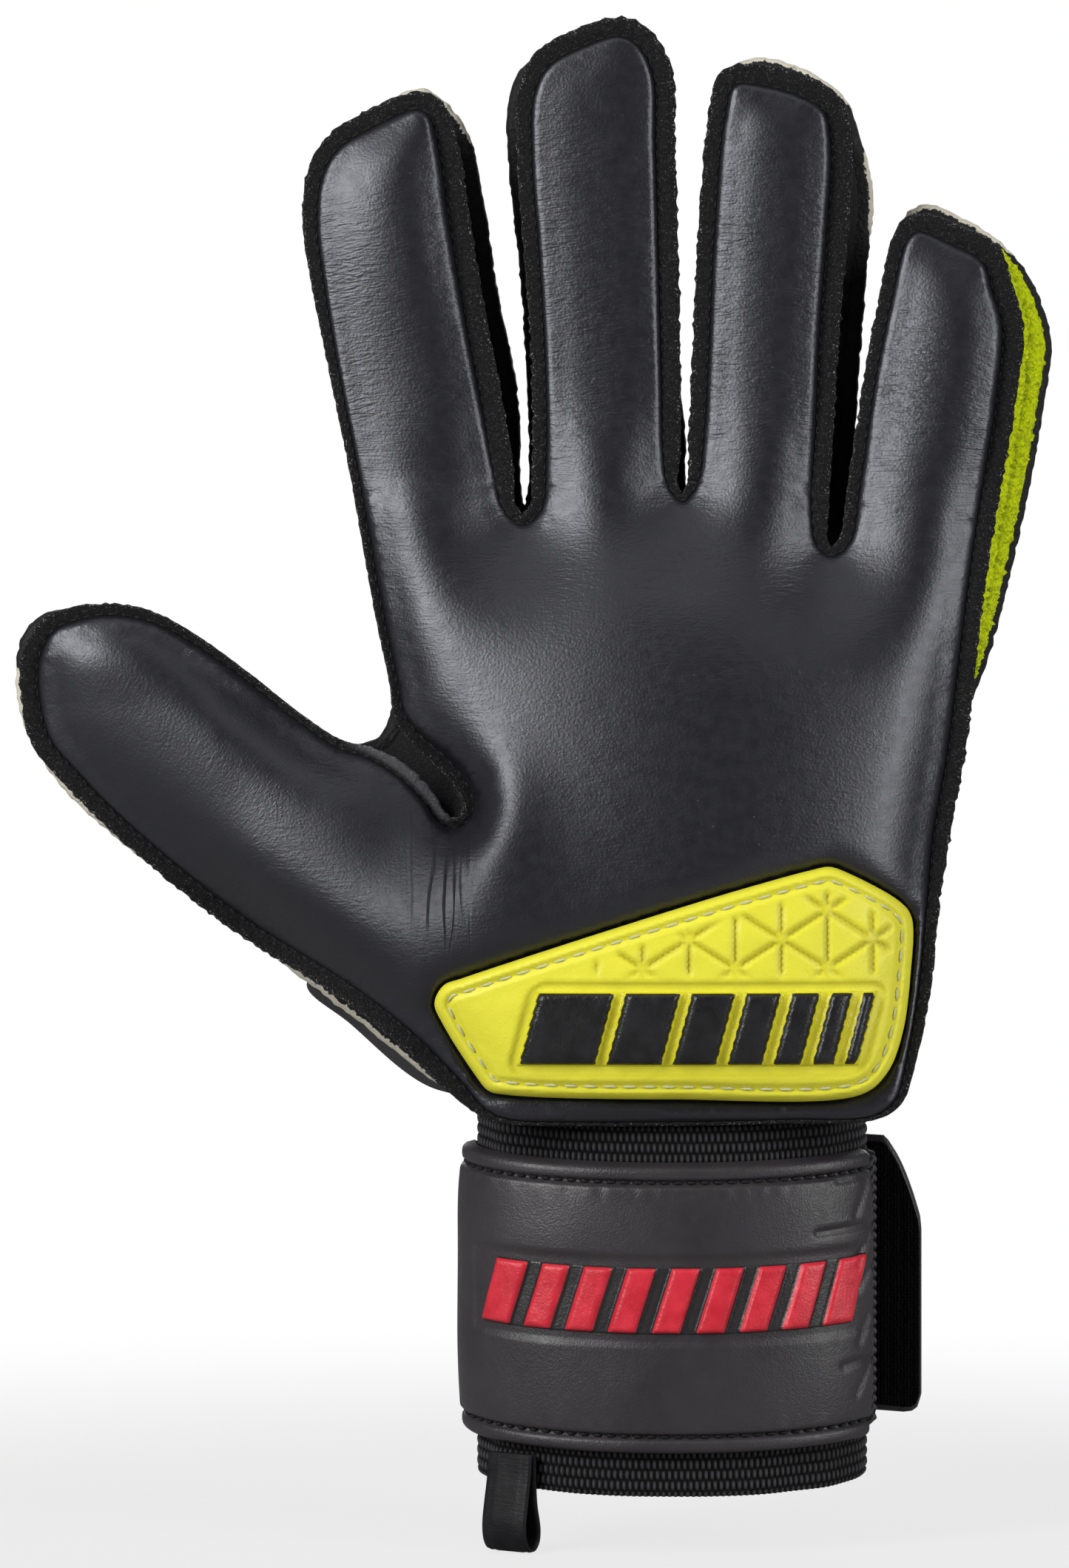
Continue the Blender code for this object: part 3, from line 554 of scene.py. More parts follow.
def drop_on(tree, spots):
    """The y at which spots in x and z meet a face from the back of the hand; no number where they miss it."""
    found = []
    for x, z in spots:
        hit = tree.ray_cast(Vector((x, -200.0, z)), Vector((0.0, 1.0, 0.0)))[0]
        found.append(hit.y if hit else np.nan)
    return np.array(found)


def piece(name, points, faces, material, slot, body=None, stands_for=(), normals=None, **fields):
    """A named mesh from points in millimetres. Faces list corner numbers; fields are values per point."""
    mesh = bpy.data.meshes.new(name)
    mesh.from_pydata((points * MM).tolist(), [], faces)
    mesh.shade_smooth()
    for field, values in {"rest": points, **fields}.items():
        values = np.asarray(values, np.float32)
        plain = values.ndim == 1
        layer = mesh.attributes.new(field, "FLOAT" if plain else "FLOAT_VECTOR", "POINT")
        layer.data.foreach_set("value" if plain else "vector", values.ravel())
    if normals is not None:
        mesh.normals_split_custom_set_from_vertices(normals.tolist())
    thing = bpy.data.objects.new(name, mesh)
    bpy.context.scene.collection.objects.link(thing)
    for paint in material if isinstance(material, list) else [material]:
        mesh.materials.append(paint)
    if body:
        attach(thing, body)
    if stands_for:
        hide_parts(*stands_for)
    return thing


def bend(thing, finger):
    """Bakes the transform of a finger's piece into its points."""
    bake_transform(thing)


def part_piece(part, name, points, faces, material, slot, stands_for=(), normals=None, **fields):
    """A piece of the hand, or of a finger, whose transform is then baked."""
    body = "hand" if part == HAND else None
    thing = piece(name, points, faces, material, slot, body, stands_for, normals, **fields)
    if part < HAND:
        bend(thing, FINGERS[part])
    return thing


def by_part(name, hand_name, points, groups, material, slot, node, hand_node, normals, **fields):
    """One piece for each finger and one for the hand. Groups are pairs of faces and the part of each face."""
    made = []
    for k, finger in enumerate(FINGERS + [None]):
        mine = [faces[part == k] for faces, part in groups]
        used = np.unique(np.concatenate([f.ravel() for f in mine]))
        fresh = np.zeros(len(points), int)
        fresh[used] = np.arange(len(used))
        faces = [face for f in mine for face in fresh[f].tolist()]
        label = f"{finger}_{name}" if finger else hand_name
        stands_for = [f"{finger}_{node}" if finger else hand_node]
        own = {field: values[used] for field, values in fields.items()}
        own["normals"] = normals[used]
        made.append(part_piece(k, label, points[used], faces, material, slot, stands_for, **own))
    return made


def slab(flat, faces, part, front, back):
    """A sheet with two faces: points, pairs of faces and the part of each, and normals."""
    count = len(flat)
    points = np.vstack([lifted(flat, front), lifted(flat, back)])
    whole = set(map(tuple, rim(faces)))
    # Quads close the edge of each part. Those between two parts have no say in the normals.
    edges = []
    sides = []
    inner = []
    for k in np.unique(part):
        for a, b in rim(faces[part == k]):
            edges.append((b, a, a + count, b + count))
            sides.append(k)
            inner.append((a, b) not in whole)
    edges = np.array(edges)
    triangles = np.vstack([faces, faces[:, ::-1] + count])
    normals = normals_of(points, triangles, edges[~np.array(inner)])
    return points, [(triangles, np.concatenate([part, part])), (edges, np.array(sides))], normals


def whole_slab(flat, faces, front, back):
    """A sheet of one part: points, faces and normals."""
    points, groups, normals = slab(flat, faces, np.zeros(len(faces), int), front, back)
    return points, [face for made, _ in groups for face in made.tolist()], normals


def tube(rings, closed_way=False):
    """Points, quads and all faces through a row of like sections, with ends unless the row is closed."""
    rings = np.asarray(rings, float)
    rows, ring, _ = rings.shape
    number = np.arange(rows * ring).reshape(rows, ring)
    here = number if closed_way else number[:-1]
    ahead = np.roll(number, -1, axis=0) if closed_way else number[1:]
    corners = [here, np.roll(here, -1, axis=1), np.roll(ahead, -1, axis=1), ahead]
    quads = np.stack(corners, axis=2).reshape(-1, 4)
    points = rings.reshape(-1, 3)
    faces = quads.tolist()
    if not closed_way:
        faces += [number[0, ::-1].tolist(), number[-1].tolist()]
    # A volume below nothing means that the faces look inwards.
    off = points - points.mean(0)
    a, b, c, d = (off[quads[:, k]] for k in range(4))
    volume = (a * (np.cross(b, c) + np.cross(c, d))).sum()
    for face in faces[len(quads) :]:
        volume += (off[face[0]] * np.cross(off[face[1:-1]], off[face[2:]])).sum()
    if volume < 0.0:
        quads = quads[:, ::-1]
        faces = [face[::-1] for face in faces]
    return points, quads, faces


def stitches(path, normal, pitch, length, thick, sink=0.35):
    """Points and quads of the stitches of a thread laid along a path; thick is half its thickness."""
    path = np.asarray(path, float)
    travel = travelled(path)
    count = max(1, int(travel[-1] / pitch))
    sides = 6
    beads = 5
    share = np.linspace(-1.0, 1.0, beads)
    turn = np.linspace(0.0, 2 * math.pi, sides, endpoint=False)[:, None]
    size = thick * np.sqrt(1.0 - 0.8 * share**6)
    points = []
    quads = []
    for k in range(count):
        at = (k + 0.5) * travel[-1] / count + share / 2 * length
        up = unit(along_path(at, travel, normal))
        line = along_path(at, travel, path) + up * (thick * (1.0 - sink - 0.9 * share**4))[:, None]
        beside = np.cross(unit(np.gradient(line, axis=0)), up)
        first = len(points) * sides
        last = first + (beads - 1) * sides
        for m in range(beads):
            points.append(line[m] + size[m] * (np.cos(turn) * beside[m] + np.sin(turn) * up[m]))
        for ring in range(first, last, sides):
            for n in range(sides):
                a = ring + n
                b = ring + (n + 1) % sides
                quads.append((a, b, b + sides, a + sides))
        for end in ((0, 3, 2, 1), (0, 5, 4, 3)):
            quads.append([first + corner for corner in end])
            quads.append([last + corner for corner in end[::-1]])
    return np.vstack(points), np.array(quads)


class Nodes:
    """Puts nodes into a tree and joins them up."""

    def __init__(self, tree):
        self.tree = tree

    def put(self, socket, value):
        if isinstance(value, bpy.types.NodeSocket):
            self.tree.links.new(value, socket)
        else:
            socket.default_value = value

    def node(self, kind, inputs, **settings):
        made = self.tree.nodes.new("ShaderNode" + kind)
        for key, value in settings.items():
            setattr(made, key, value)
        for key, value in inputs.items():
            self.put(made.inputs[key], value)
        return made

    def mix(self, share, one, two):
        """A colour between two colours or colour sockets."""
        made = self.node("Mix", {}, data_type="RGBA")
        for socket, value in ((0, share), (6, one), (7, two)):
            self.put(made.inputs[socket], value if not isinstance(value, tuple) else (*value, 1.0))
        return made.outputs[2]


class Paint(Nodes):
    """A material in the making. Textures sit on the piece's rest positions, in millimetres."""

    def __init__(self, name, **fixed):
        self.material = bpy.data.materials.new(name)
        self.material.use_nodes = True
        super().__init__(self.material.node_tree)
        self.shader = self.tree.nodes["Principled BSDF"]
        for socket, value in fixed.items():
            self.set(socket.replace("_", " "), value)
        self.rest = self.field("rest", "Vector")

    def set(self, socket, value):
        self.put(self.shader.inputs[socket], value)

    def field(self, name, output="Fac"):
        return self.node("Attribute", {}, attribute_name=name).outputs[output]

    def maths(self, operation, a, b=0.0):
        return self.node("Math", {0: a, 1: b}, operation=operation).outputs[0]

    def stretch(self, vector, scale):
        return self.node("Mapping", {"Vector": vector, "Scale": scale}).outputs[0]

    def noise(self, scale, detail=2.0, rough=0.5, where=None, bend=0.0):
        inputs = {"Vector": self.rest if where is None else where, "Scale": scale, "Detail": detail}
        inputs.update({"Roughness": rough, "Distortion": bend})
        return self.node("TexNoise", inputs).outputs["Fac"]

    def cells(self, scale, feature="F1", spread=1.0):
        inputs = {"Vector": self.rest, "Scale": scale, "Randomness": spread}
        return self.node("TexVoronoi", inputs, feature=feature).outputs["Distance"]

    def pebble(self, scale):
        return self.cells(scale, "SMOOTH_F1")

    def span(self, value, low, high, to_low=0.0, to_high=1.0):
        inputs = {"Value": value, "From Min": low, "From Max": high, "To Min": to_low, "To Max": to_high}
        return self.node("MapRange", inputs, clamp=True).outputs["Result"]

    def uneven(self, scale, detail, low, high):
        """A value that wanders between two bounds."""
        return self.span(self.noise(scale, detail), 0.3, 0.7, low, high)

    def ridge(self, value, width):
        """Zero on the lines where a noise passes its middle, one a width away."""
        return self.span(self.maths("ABSOLUTE", self.maths("SUBTRACT", value, 0.5)), 0.0, width)

    def finish(self, colour, rough, *bumps):
        """Colour and roughness in, then bumps as height, depth in millimetres."""
        self.set("Base Color", colour)
        self.set("Roughness", rough)
        below = {}
        for height, depth in bumps:
            inputs = {"Height": height, "Distance": depth * MM, "Strength": 1.0, **below}
            below = {"Normal": self.node("Bump", inputs).outputs[0]}
        self.set("Normal", below["Normal"])
        return self.material


def leather_paint():
    """Smooth black synthetic leather: fine grain, hair-fine wrinkles, duller where it is worked."""
    p = Paint("back_leather", Specular_Tint=(0.91, 0.92, 1.0, 1.0))
    tint = p.mix(p.noise(0.06, 3.0), (0.0068, 0.0068, 0.0092), (0.0105, 0.0105, 0.0136))
    dust = p.span(p.cells(0.42), 0.02, 0.06, 1.0, 0.0)
    dust = p.maths("MULTIPLY", dust, p.span(p.noise(0.9, 1.0), 0.5, 0.56))
    tint = p.mix(dust, tint, (0.11, 0.11, 0.115))
    dull = p.field("dull")
    rough = p.maths("ADD", p.uneven(0.5, 3.0, 0.35, 0.42), p.maths("MULTIPLY", dull, 0.08))
    p.set("Specular IOR Level", p.span(dull, 0.0, 1.0, 0.75, 0.42))
    lie = p.field("lie", "Vector")
    wrinkle = p.ridge(p.noise(1.0, 1.5, 0.5, p.stretch(lie, (0.2, 0.8, 1.0)), 0.3), 0.15)
    finer = p.ridge(p.noise(1.0, 1.0, 0.5, p.stretch(lie, (0.34, 1.45, 1.0)), 0.3), 0.22)
    amount = p.maths("MULTIPLY", p.span(p.noise(0.1, 2.0), 0.34, 0.62, 0.35, 1.0), p.field("creased"))
    wrinkle = p.maths("MULTIPLY", wrinkle, amount)
    finer = p.maths("MULTIPLY", finer, amount)
    fold = p.ridge(p.noise(1.0, 1.0, 0.5, p.stretch(lie, (0.32, 0.026, 1.0)), 0.6), 0.06)
    fold = p.maths("MULTIPLY", p.maths("SUBTRACT", 1.0, fold), p.field("folded"))
    grain = [(p.pebble(2.3), 0.036), (p.noise(4.2, 2.0, 0.6), 0.018)]
    return p.finish(tint, rough, (fold, -0.15), (wrinkle, 0.036), (finer, 0.044), *grain)


def fleece_paint():
    """Matt black cloth-faced foam; raw edges show pale fibre ends, and a painted highlight greys the flange
    edge that is turned to the light.
    """
    p = Paint("black_fleece", Specular_IOR_Level=0.2, Sheen_Weight=0.06, Sheen_Roughness=0.5)
    nap = p.noise(2.6, 4.0, 0.72)
    tint = p.mix(p.span(nap, 0.38, 0.68), (0.0025, 0.0025, 0.003), (0.017, 0.0168, 0.018))
    tint = p.mix(p.span(p.noise(2.2, 2.0), 0.72, 0.76, 0.0, 0.35), tint, (0.06, 0.06, 0.062))
    # Painted highlight: the flange edge by the thumb's crotch is painted lighter grey.
    tint = p.mix(p.field("lip_highlight"), tint, (0.085, 0.085, 0.092))
    ends = p.maths("MULTIPLY", p.span(p.noise(3.1, 1.0), 0.64, 0.7), p.field("raw"))
    tint = p.mix(ends, tint, (0.42, 0.41, 0.4))
    return p.finish(tint, p.uneven(0.8, 2.0, 0.88, 1.0), (nap, 0.4), (p.cells(1.3), 0.14))


def latex_paint():
    """Cream latex foam with fine pores, on a thin black backing."""
    p = Paint("palm_latex", Specular_IOR_Level=0.3)
    tint = p.mix(p.noise(0.05, 4.0), (0.62, 0.575, 0.46), (0.73, 0.69, 0.59))
    pore = p.cells(1.5)
    # Painted shade: the pits of the pores are painted darker.
    tint = p.mix(p.span(pore, 0.0, 0.22, 0.55, 0.0), tint, (0.46, 0.42, 0.33))
    scuff = p.span(p.noise(0.5, 5.0, 0.7), 0.56, 0.72, 0.0, 0.5)
    tint = p.mix(p.maths("MULTIPLY", scuff, p.field("worn")), tint, (0.36, 0.34, 0.3))
    nap = p.noise(2.6, 3.0, 0.7)
    dark = p.mix(p.span(nap, 0.35, 0.7), (0.005, 0.005, 0.0055), (0.018, 0.018, 0.02))
    edge = p.maths("ADD", p.field("backing"), p.uneven(1.3, 2.0, -0.3, 0.3))
    tint = p.mix(p.span(edge, 0.42, 0.58), tint, dark)
    return p.finish(tint, p.uneven(0.4, 3.0, 0.58, 0.8), (p.noise(0.9, 3.0), 0.16), (pore, 0.14), (nap, 0.06))


def terry_paint():
    """Lime terry: loops with deep gaps between them; the gaps and the crease along the strip get painted
    shade.
    """
    p = Paint("lime_mesh", Specular_IOR_Level=0.1, Sheen_Weight=0.04, Sheen_Roughness=0.5)
    loops = p.cells(1.25)
    # Painted shade: the gaps between the loops are painted darker.
    tint = p.mix(p.span(loops, 0.15, 0.7), (0.9, 1.0, 0.004), (0.5, 0.64, 0.002))
    tint = p.mix(p.span(p.noise(0.6, 3.0), 0.45, 0.7, 0.0, 0.7), tint, (0.75, 0.92, 0.004))
    # Painted shade along the crease in the strip.
    tint = p.mix(p.field("groove"), tint, (0.15, 0.21, 0.003))
    return p.finish(tint, p.uneven(1.0, 2.0, 0.8, 0.95), (loops, -0.6), (p.noise(3.2, 3.0), 0.16))


def pad_paint():
    """Lemon moulded rubber, with painted shade in its grooves."""
    p = Paint("lemon_pad", Specular_IOR_Level=0.4)
    tint = p.mix(p.noise(0.07, 3.0), (0.83, 0.78, 0.038), (0.9, 0.85, 0.058))
    # Painted shade in the seam, the lattice grooves and the moat round the bar.
    tint = p.mix(p.field("groove"), tint, (0.5, 0.43, 0.004))
    tint = p.mix(p.span(p.noise(1.6, 2.0), 0.72, 0.78, 0.0, 0.35), tint, (0.7, 0.64, 0.1))
    return p.finish(tint, p.uneven(0.6, 3.0, 0.4, 0.54), (p.pebble(2.2), 0.04), (p.noise(0.5, 3.0), 0.09))


def rubber_paint(name, dark, light, low, high, ground):
    """Moulded rubber with a fine pebble; the ground it is moulded on shows in its gaps."""
    p = Paint(name, Specular_IOR_Level=0.5)
    tint = p.mix(p.span(p.noise(0.3, 4.0), 0.35, 0.65), dark, light)
    tint = p.mix(p.span(p.field("gap"), 0.4, 0.6), tint, ground)
    return p.finish(tint, p.uneven(0.9, 3.0, low, high), (p.pebble(2.8), 0.05), (p.noise(0.7, 3.0), 0.08))


def strap_paint(name, dark, light):
    """Satin charcoal synthetic leather, a little browner in places, paler where it is rubbed."""
    p = Paint(name, Specular_IOR_Level=0.5)
    tint = p.mix(p.span(p.noise(0.05, 4.0), 0.35, 0.65), dark, light)
    tint = p.mix(p.span(p.noise(0.5, 5.0, 0.7), 0.62, 0.82, 0.0, 0.3), tint, (0.07, 0.067, 0.066))
    bumps = [(p.noise(0.9, 2.0), 0.03), (p.pebble(3.1), 0.045), (p.noise(4.0, 2.0, 0.6), 0.03)]
    return p.finish(tint, p.uneven(0.45, 4.0, 0.36, 0.46), *bumps)


def knit_paint():
    """Black knitted elastic: a painted highlight on the yarn's crowns, and painted shade in the deep gaps
    between.
    """
    p = Paint("black_knit", Specular_IOR_Level=0.2, Sheen_Weight=0.05, Sheen_Roughness=0.4)
    fuzz = p.noise(4.0, 3.0, 0.7)
    # Painted light and shade: the crowns are painted lighter, the gaps between them near black.
    tint = p.mix(p.span(p.field("crown"), 0.2, 0.95), (0.0008, 0.0008, 0.001), (0.075, 0.073, 0.08))
    tint = p.mix(p.span(fuzz, 0.55, 0.8, 0.0, 0.6), tint, (0.03, 0.03, 0.033))
    twist = p.noise(1.0, 2.0, 0.6, p.stretch(p.rest, (5.0, 5.0, 2.2)))
    return p.finish(tint, p.uneven(1.2, 2.0, 0.75, 0.95), (twist, 0.14), (fuzz, 0.1))


def hook_paint():
    """The fastening side of the strap: dense black hooks."""
    p = Paint("black_hook", Specular_IOR_Level=0.12, Sheen_Weight=0.03, Sheen_Roughness=0.4)
    hooks = p.cells(1.7, spread=0.35)
    # Painted shade: the gaps between the hooks are painted darker than their tops.
    tint = p.mix(p.span(hooks, 0.1, 0.6), (0.0045, 0.0045, 0.005), (0.0006, 0.0006, 0.0007))
    return p.finish(tint, p.uneven(0.8, 2.0, 0.7, 0.9), (hooks, -0.3), (p.noise(3.0, 2.0), 0.08))


def thread_paint(name, dark, light):
    """Twisted sewing thread."""
    p = Paint(name, Specular_IOR_Level=0.3, Sheen_Weight=0.04)
    tint = p.mix(p.noise(1.1, 3.0), dark, light)
    return p.finish(tint, p.uneven(1.5, 2.0, 0.5, 0.7), (p.noise(4.5, 2.0), 0.1))


def tape_paint():
    """Smooth black tape with a faint rib across it."""
    p = Paint("black_tape", Specular_IOR_Level=0.22)
    rib = p.noise(1.0, 2.0, 0.5, p.stretch(p.field("lie", "Vector"), (0.3, 2.2, 1.0)))
    tint = p.mix(p.span(p.noise(0.3, 4.0), 0.35, 0.65), (0.006, 0.006, 0.0075), (0.012, 0.012, 0.0138))
    return p.finish(tint, p.uneven(0.8, 3.0, 0.42, 0.56), (rib, 0.06), (p.noise(3.0, 3.0), 0.05))


LEATHER = leather_paint()
FLEECE = fleece_paint()
LATEX = latex_paint()
TERRY = terry_paint()
LEMON = pad_paint()
LEMON_GROUND = (0.72, 0.66, 0.015)
STRAP_GROUND = (0.02, 0.0185, 0.019)
INK = ((0.006, 0.006, 0.007), (0.014, 0.014, 0.016))
SCARLET = ((0.6, 0.014, 0.032), (0.74, 0.028, 0.05))
BLACK_RUBBER = rubber_paint("black_rubber", *INK, 0.3, 0.42, LEMON_GROUND)
RED_RUBBER = rubber_paint("red_rubber", *SCARLET, 0.34, 0.48, STRAP_GROUND)
STRAP = strap_paint("strap_leather", (0.0255, 0.0224, 0.0255), (0.0385, 0.0336, 0.038))
HEEL_SKIN = strap_paint("heel_leather", (0.03, 0.03, 0.034), (0.05, 0.05, 0.055))
KNIT = knit_paint()
HOOK = hook_paint()
TAPE = tape_paint()
PALE_THREAD = thread_paint("pale_thread", (0.52, 0.52, 0.25), (0.72, 0.72, 0.42))
CREAM_THREAD = thread_paint("cream_thread", (0.5, 0.46, 0.38), (0.66, 0.62, 0.52))
BLACK_THREAD = thread_paint("black_thread", (0.002, 0.002, 0.0023), (0.009, 0.009, 0.0095))

# The back panel: a padded skin over the hand and all the fingers, held down along its seam.
SEAM_STEP = 0.75
PAD_STEP = 0.7
# It lies a seat off the base sheet with its edge sunk in the seam, rises there, puffs up and swells.
SEAT = 0.2
SUNK = 0.6
EDGE_RISE = 0.8
EDGE_ROLL = 1.0
PUFF = 3.2
PUFF_ROLL = 11.0
SWELL_FULL = 11.5
EVEN_ROUNDS = 20
# Each finger's padding: how much fuller it is to the right, how far it takes to its height, how full it is.
LOPSIDED = {"thumb": 0.6, "index": 0.5, "middle": 0.25, "ring": 0.3, "pinky": 0.5}
FINGER_ROLL = {"index": 11.0, "middle": 7.0, "ring": 7.0, "pinky": 10.5}
FINGER_FULL = {"middle": 0.42, "ring": 0.66, "pinky": 0.82}
# All of that comes in over a stretch from where the finger starts.
FINGER_START = 18.0
# The index finger lies flatter up to a height above its crease, and gets full over a run from there.
INDEX_LOW = 0.62
INDEX_LOW_TO = (14.0, 28.0)
# The skin lies flatter where it nears a crotch.
CROTCH_FLAT = 0.72
CROTCH_SPREAD = 13.0
# On the hand's side of the thumb's crotch the padding is full up to the seam instead.
HAND_SIDE = 26.0
THUMB_FILL = 3.3
THUMB_FILL_SPREAD = 18.0
THUMB_FILL_ROLL = 6.0
CROTCH_EDGE = 8.0
CROTCH_EDGE_DEEP = 8.0
CROTCH_EDGE_ROLL = 4.0
# Below that crotch the hand is full right from the fold where the thumb starts.
HEEL_FILL_AT = (-39.5, 106.0)
HEEL_FILL = 3.2
HEEL_FILL_SPREAD = 13.0
HEEL_FILL_ROLL = 8.0
# Over the root of the thumb the padding evens out the step in the sheet below.
THUMB_EVEN = (-42.0, 74.0)
THUMB_EVEN_ROLL = 11.0
# The skin is drawn down round the moulded pad, and deeper under it.
PAD_DIP = 2.4
PAD_DIP_ROLL = 5.5
PAD_UNDER_ROLL = 3.0
# Fine wrinkles cross the fingers, fewer the hand and the thumb, and none reach a fingertip.
CREASED_HAND = 0.45
CREASED_THUMB = 0.25
CREASED_START = 15.0
CREASED_TIP = 22.0
# The folds at the root of the thumb, and the leather round them that is worked soft and dull.
FOLDS_AT = (-41.5, 109.0)
FOLDS_REACH = (5.0, 10.0)
DULL_AT = (-46.0, 112.0)
DULL_REACH = (19.0, 16.0)


def round_spot(flat, at, reach):
    """One at a place, falling away over a reach in x and in z."""
    return np.exp(-(((flat - at) / reach) ** 2).sum(1))


seam, seam_runs = outline(PANEL, SEAM_STEP)
seam_line = seam[:, :2]
seam_out = outward(seam)
flange_width = seam[:, 2]
pad_line = spline(PAD, PAD_STEP)[0]
lanes = [seam_line - seam_out * depth for depth in (0.3, 0.8, 1.5)]
flat, faces, part = patchwork(seam_line, seam_runs, lanes, grid=1.25, edge=2.1, step=1.2)
finger_of = np.full(len(flat), HAND)
for k in range(HAND):
    finger_of[faces[part == k].ravel()] = k

# How full the padding is over each point.
fullness = np.ones(len(flat))
puff_roll = np.full(len(flat), PUFF_ROLL)
steep = np.zeros(len(flat))
for k, (name, crease) in enumerate(creases.items()):
    mine = finger_of == k
    height = crease.height(flat[mine])
    share = smooth((height - CUT[name]) / FINGER_START)
    aside = np.clip(crease.side(flat[mine]) / crease.half, -1.2, 1.2)
    fullness[mine] += share * (FINGER_FULL.get(name, 1.0) * (1.0 + LOPSIDED[name] * aside) - 1.0)
    if name == "index":
        fullness[mine] *= INDEX_LOW + (1.0 - INDEX_LOW) * smooth((height - INDEX_LOW_TO[0]) / INDEX_LOW_TO[1])
    puff_roll[mine] += share * (FINGER_ROLL.get(name, PUFF_ROLL) - PUFF_ROLL)
    steep[mine] = share * smooth((aside + 0.2) / 0.7) * (name in FINGER_ROLL)
thumb_crotch = seam_line[seam_runs["index"][0]]
hand_side = smooth((flat[:, 0] - thumb_crotch[0]) / HAND_SIDE + 0.5)
for name in FINGERS[1:]:
    off = np.linalg.norm(flat - seam_line[seam_runs[name][0]], axis=1)
    kept_full = hand_side if name == "index" else 0.0
    fullness *= 1.0 - CROTCH_FLAT * (1.0 - kept_full) * bell(off, CROTCH_SPREAD)

# Round like a bow from the left seam; on the right of a finger it stands up straighter and is flatter inside.
off_seam = distance(seam_line, flat)
swell = np.maximum(poisson(flat, faces), 0.0)
bow = roll(off_seam, puff_roll) ** (2.0 - steep)
dome = EDGE_RISE * roll(off_seam, EDGE_ROLL) + fullness * PUFF * bow - SUNK
dome += np.minimum(fullness, 1.0) * SWELL_FULL * swell / swell.max()
off = np.linalg.norm(flat - thumb_crotch, axis=1)
by_crotch = hand_side * bell(off, THUMB_FILL_SPREAD)
dome += THUMB_FILL * by_crotch * roll(off_seam, THUMB_FILL_ROLL)
dome += CROTCH_EDGE * by_crotch * bell(off_seam, CROTCH_EDGE_DEEP) * roll(off_seam, CROTCH_EDGE_ROLL)
off = np.linalg.norm(flat - HEEL_FILL_AT, axis=1)
dome += HEEL_FILL * bell(off, HEEL_FILL_SPREAD) * roll(off_seam, HEEL_FILL_ROLL)
uneven = thumb_share(flat, *THUMB_STEP) - thumb_share(flat, *THUMB_EVEN)
dome += np.maximum((THUMB_Y - hand_level(flat)) * uneven, 0.0) * smooth(off_seam / THUMB_EVEN_ROLL)
dome = evened(dome, faces, smooth((off_seam - 0.5) / 2.5), EVEN_ROUNDS)
dome_y = back_face(flat) - SEAT - dome
dome_tree = BVHTree.FromPolygons(lifted(flat, dome_y).tolist(), faces.tolist())

off_pad = distance(pad_line, flat)
under_pad = 1.0 + roll(off_pad, PAD_UNDER_ROLL)
beside_pad = 1.0 - roll(off_pad, PAD_DIP_ROLL)
skin_y = dome_y + PAD_DIP * np.where(inside(pad_line, flat), under_pad, beside_pad)
under = np.maximum(skin_y + 0.3, back_face(flat) - SEAT + 0.15)

# Where the wrinkles lie, and how many.
lie = np.column_stack([flat, np.zeros(len(flat))])
creased = np.full(len(flat), CREASED_HAND)
for k, (name, crease) in enumerate(creases.items()):
    mine = finger_of == k
    height = crease.height(flat[mine])
    share = smooth((height - CUT[name]) / CREASED_START)
    own = np.column_stack([crease.side(flat[mine]), height + crease.middle[1], np.zeros(mine.sum())])
    lie[mine] += share[:, None] * (own - lie[mine])
    most = CREASED_THUMB if name == "thumb" else 1.0
    creased[mine] += share * (smooth((height.max() - height) / CREASED_TIP) * most - CREASED_HAND)
looks = {
    "lie": lie,
    "creased": creased,
    "folded": round_spot(flat, FOLDS_AT, FOLDS_REACH),
    "dull": round_spot(flat, DULL_AT, DULL_REACH),
}
looks = {field: np.concatenate([values, values]) for field, values in looks.items()}
points, groups, normals = slab(flat, faces, part, skin_y, under)
skins = by_part(
    "skin",
    "backhand_skin",
    points,
    groups,
    LEATHER,
    "back_leather",
    "panel",
    "backhand_panel",
    normals,
    **looks,
)

# The base sheet under it, whose raw edge stands out as a flange.
FLANGE_RISE = 0.78
FLANGE_SUNK = 0.55
FLANGE_EDGE = 0.55
EDGE_ROUND = 0.6
RAW_EDGE = 0.8
# On the thumb's side of its crotch the flange's edge is painted lighter grey, a painted highlight: how far
# that runs.
LIP_RUN = 27.0
LIP_FADE = 6.0

ragged = 0.11 * waves(seam_line, 1.3, 3) + 0.07 * waves(seam_line, 0.7, 4)
ragged *= np.clip((flange_width - 1.0) / 1.5, 0.15, 1.0)
flange_line = seam_line + seam_out * (flange_width + ragged)[:, None]
lanes = [flange_line - seam_out * 0.28]
lanes += [seam_line + seam_out * (flange_width * share)[:, None] for share in (0.72, 0.42)]
lanes += [seam_line + seam_out * away for away in (0.3, -0.4, -1.5)]
flat, faces, part = patchwork(flange_line, seam_runs, lanes, grid=4.2, edge=5.0, step=2.0)
off_seam = distance(seam_line, flat)
out_of_seam = np.where(inside(seam_line, flat), 0.0, off_seam)
off_edge = distance(flange_line, flat)
nearest = np.array([np.argmin(np.hypot(*(flange_line - spot).T)) for spot in flat])
before_crotch = (seam_runs["index"][0] - nearest) * SEAM_STEP
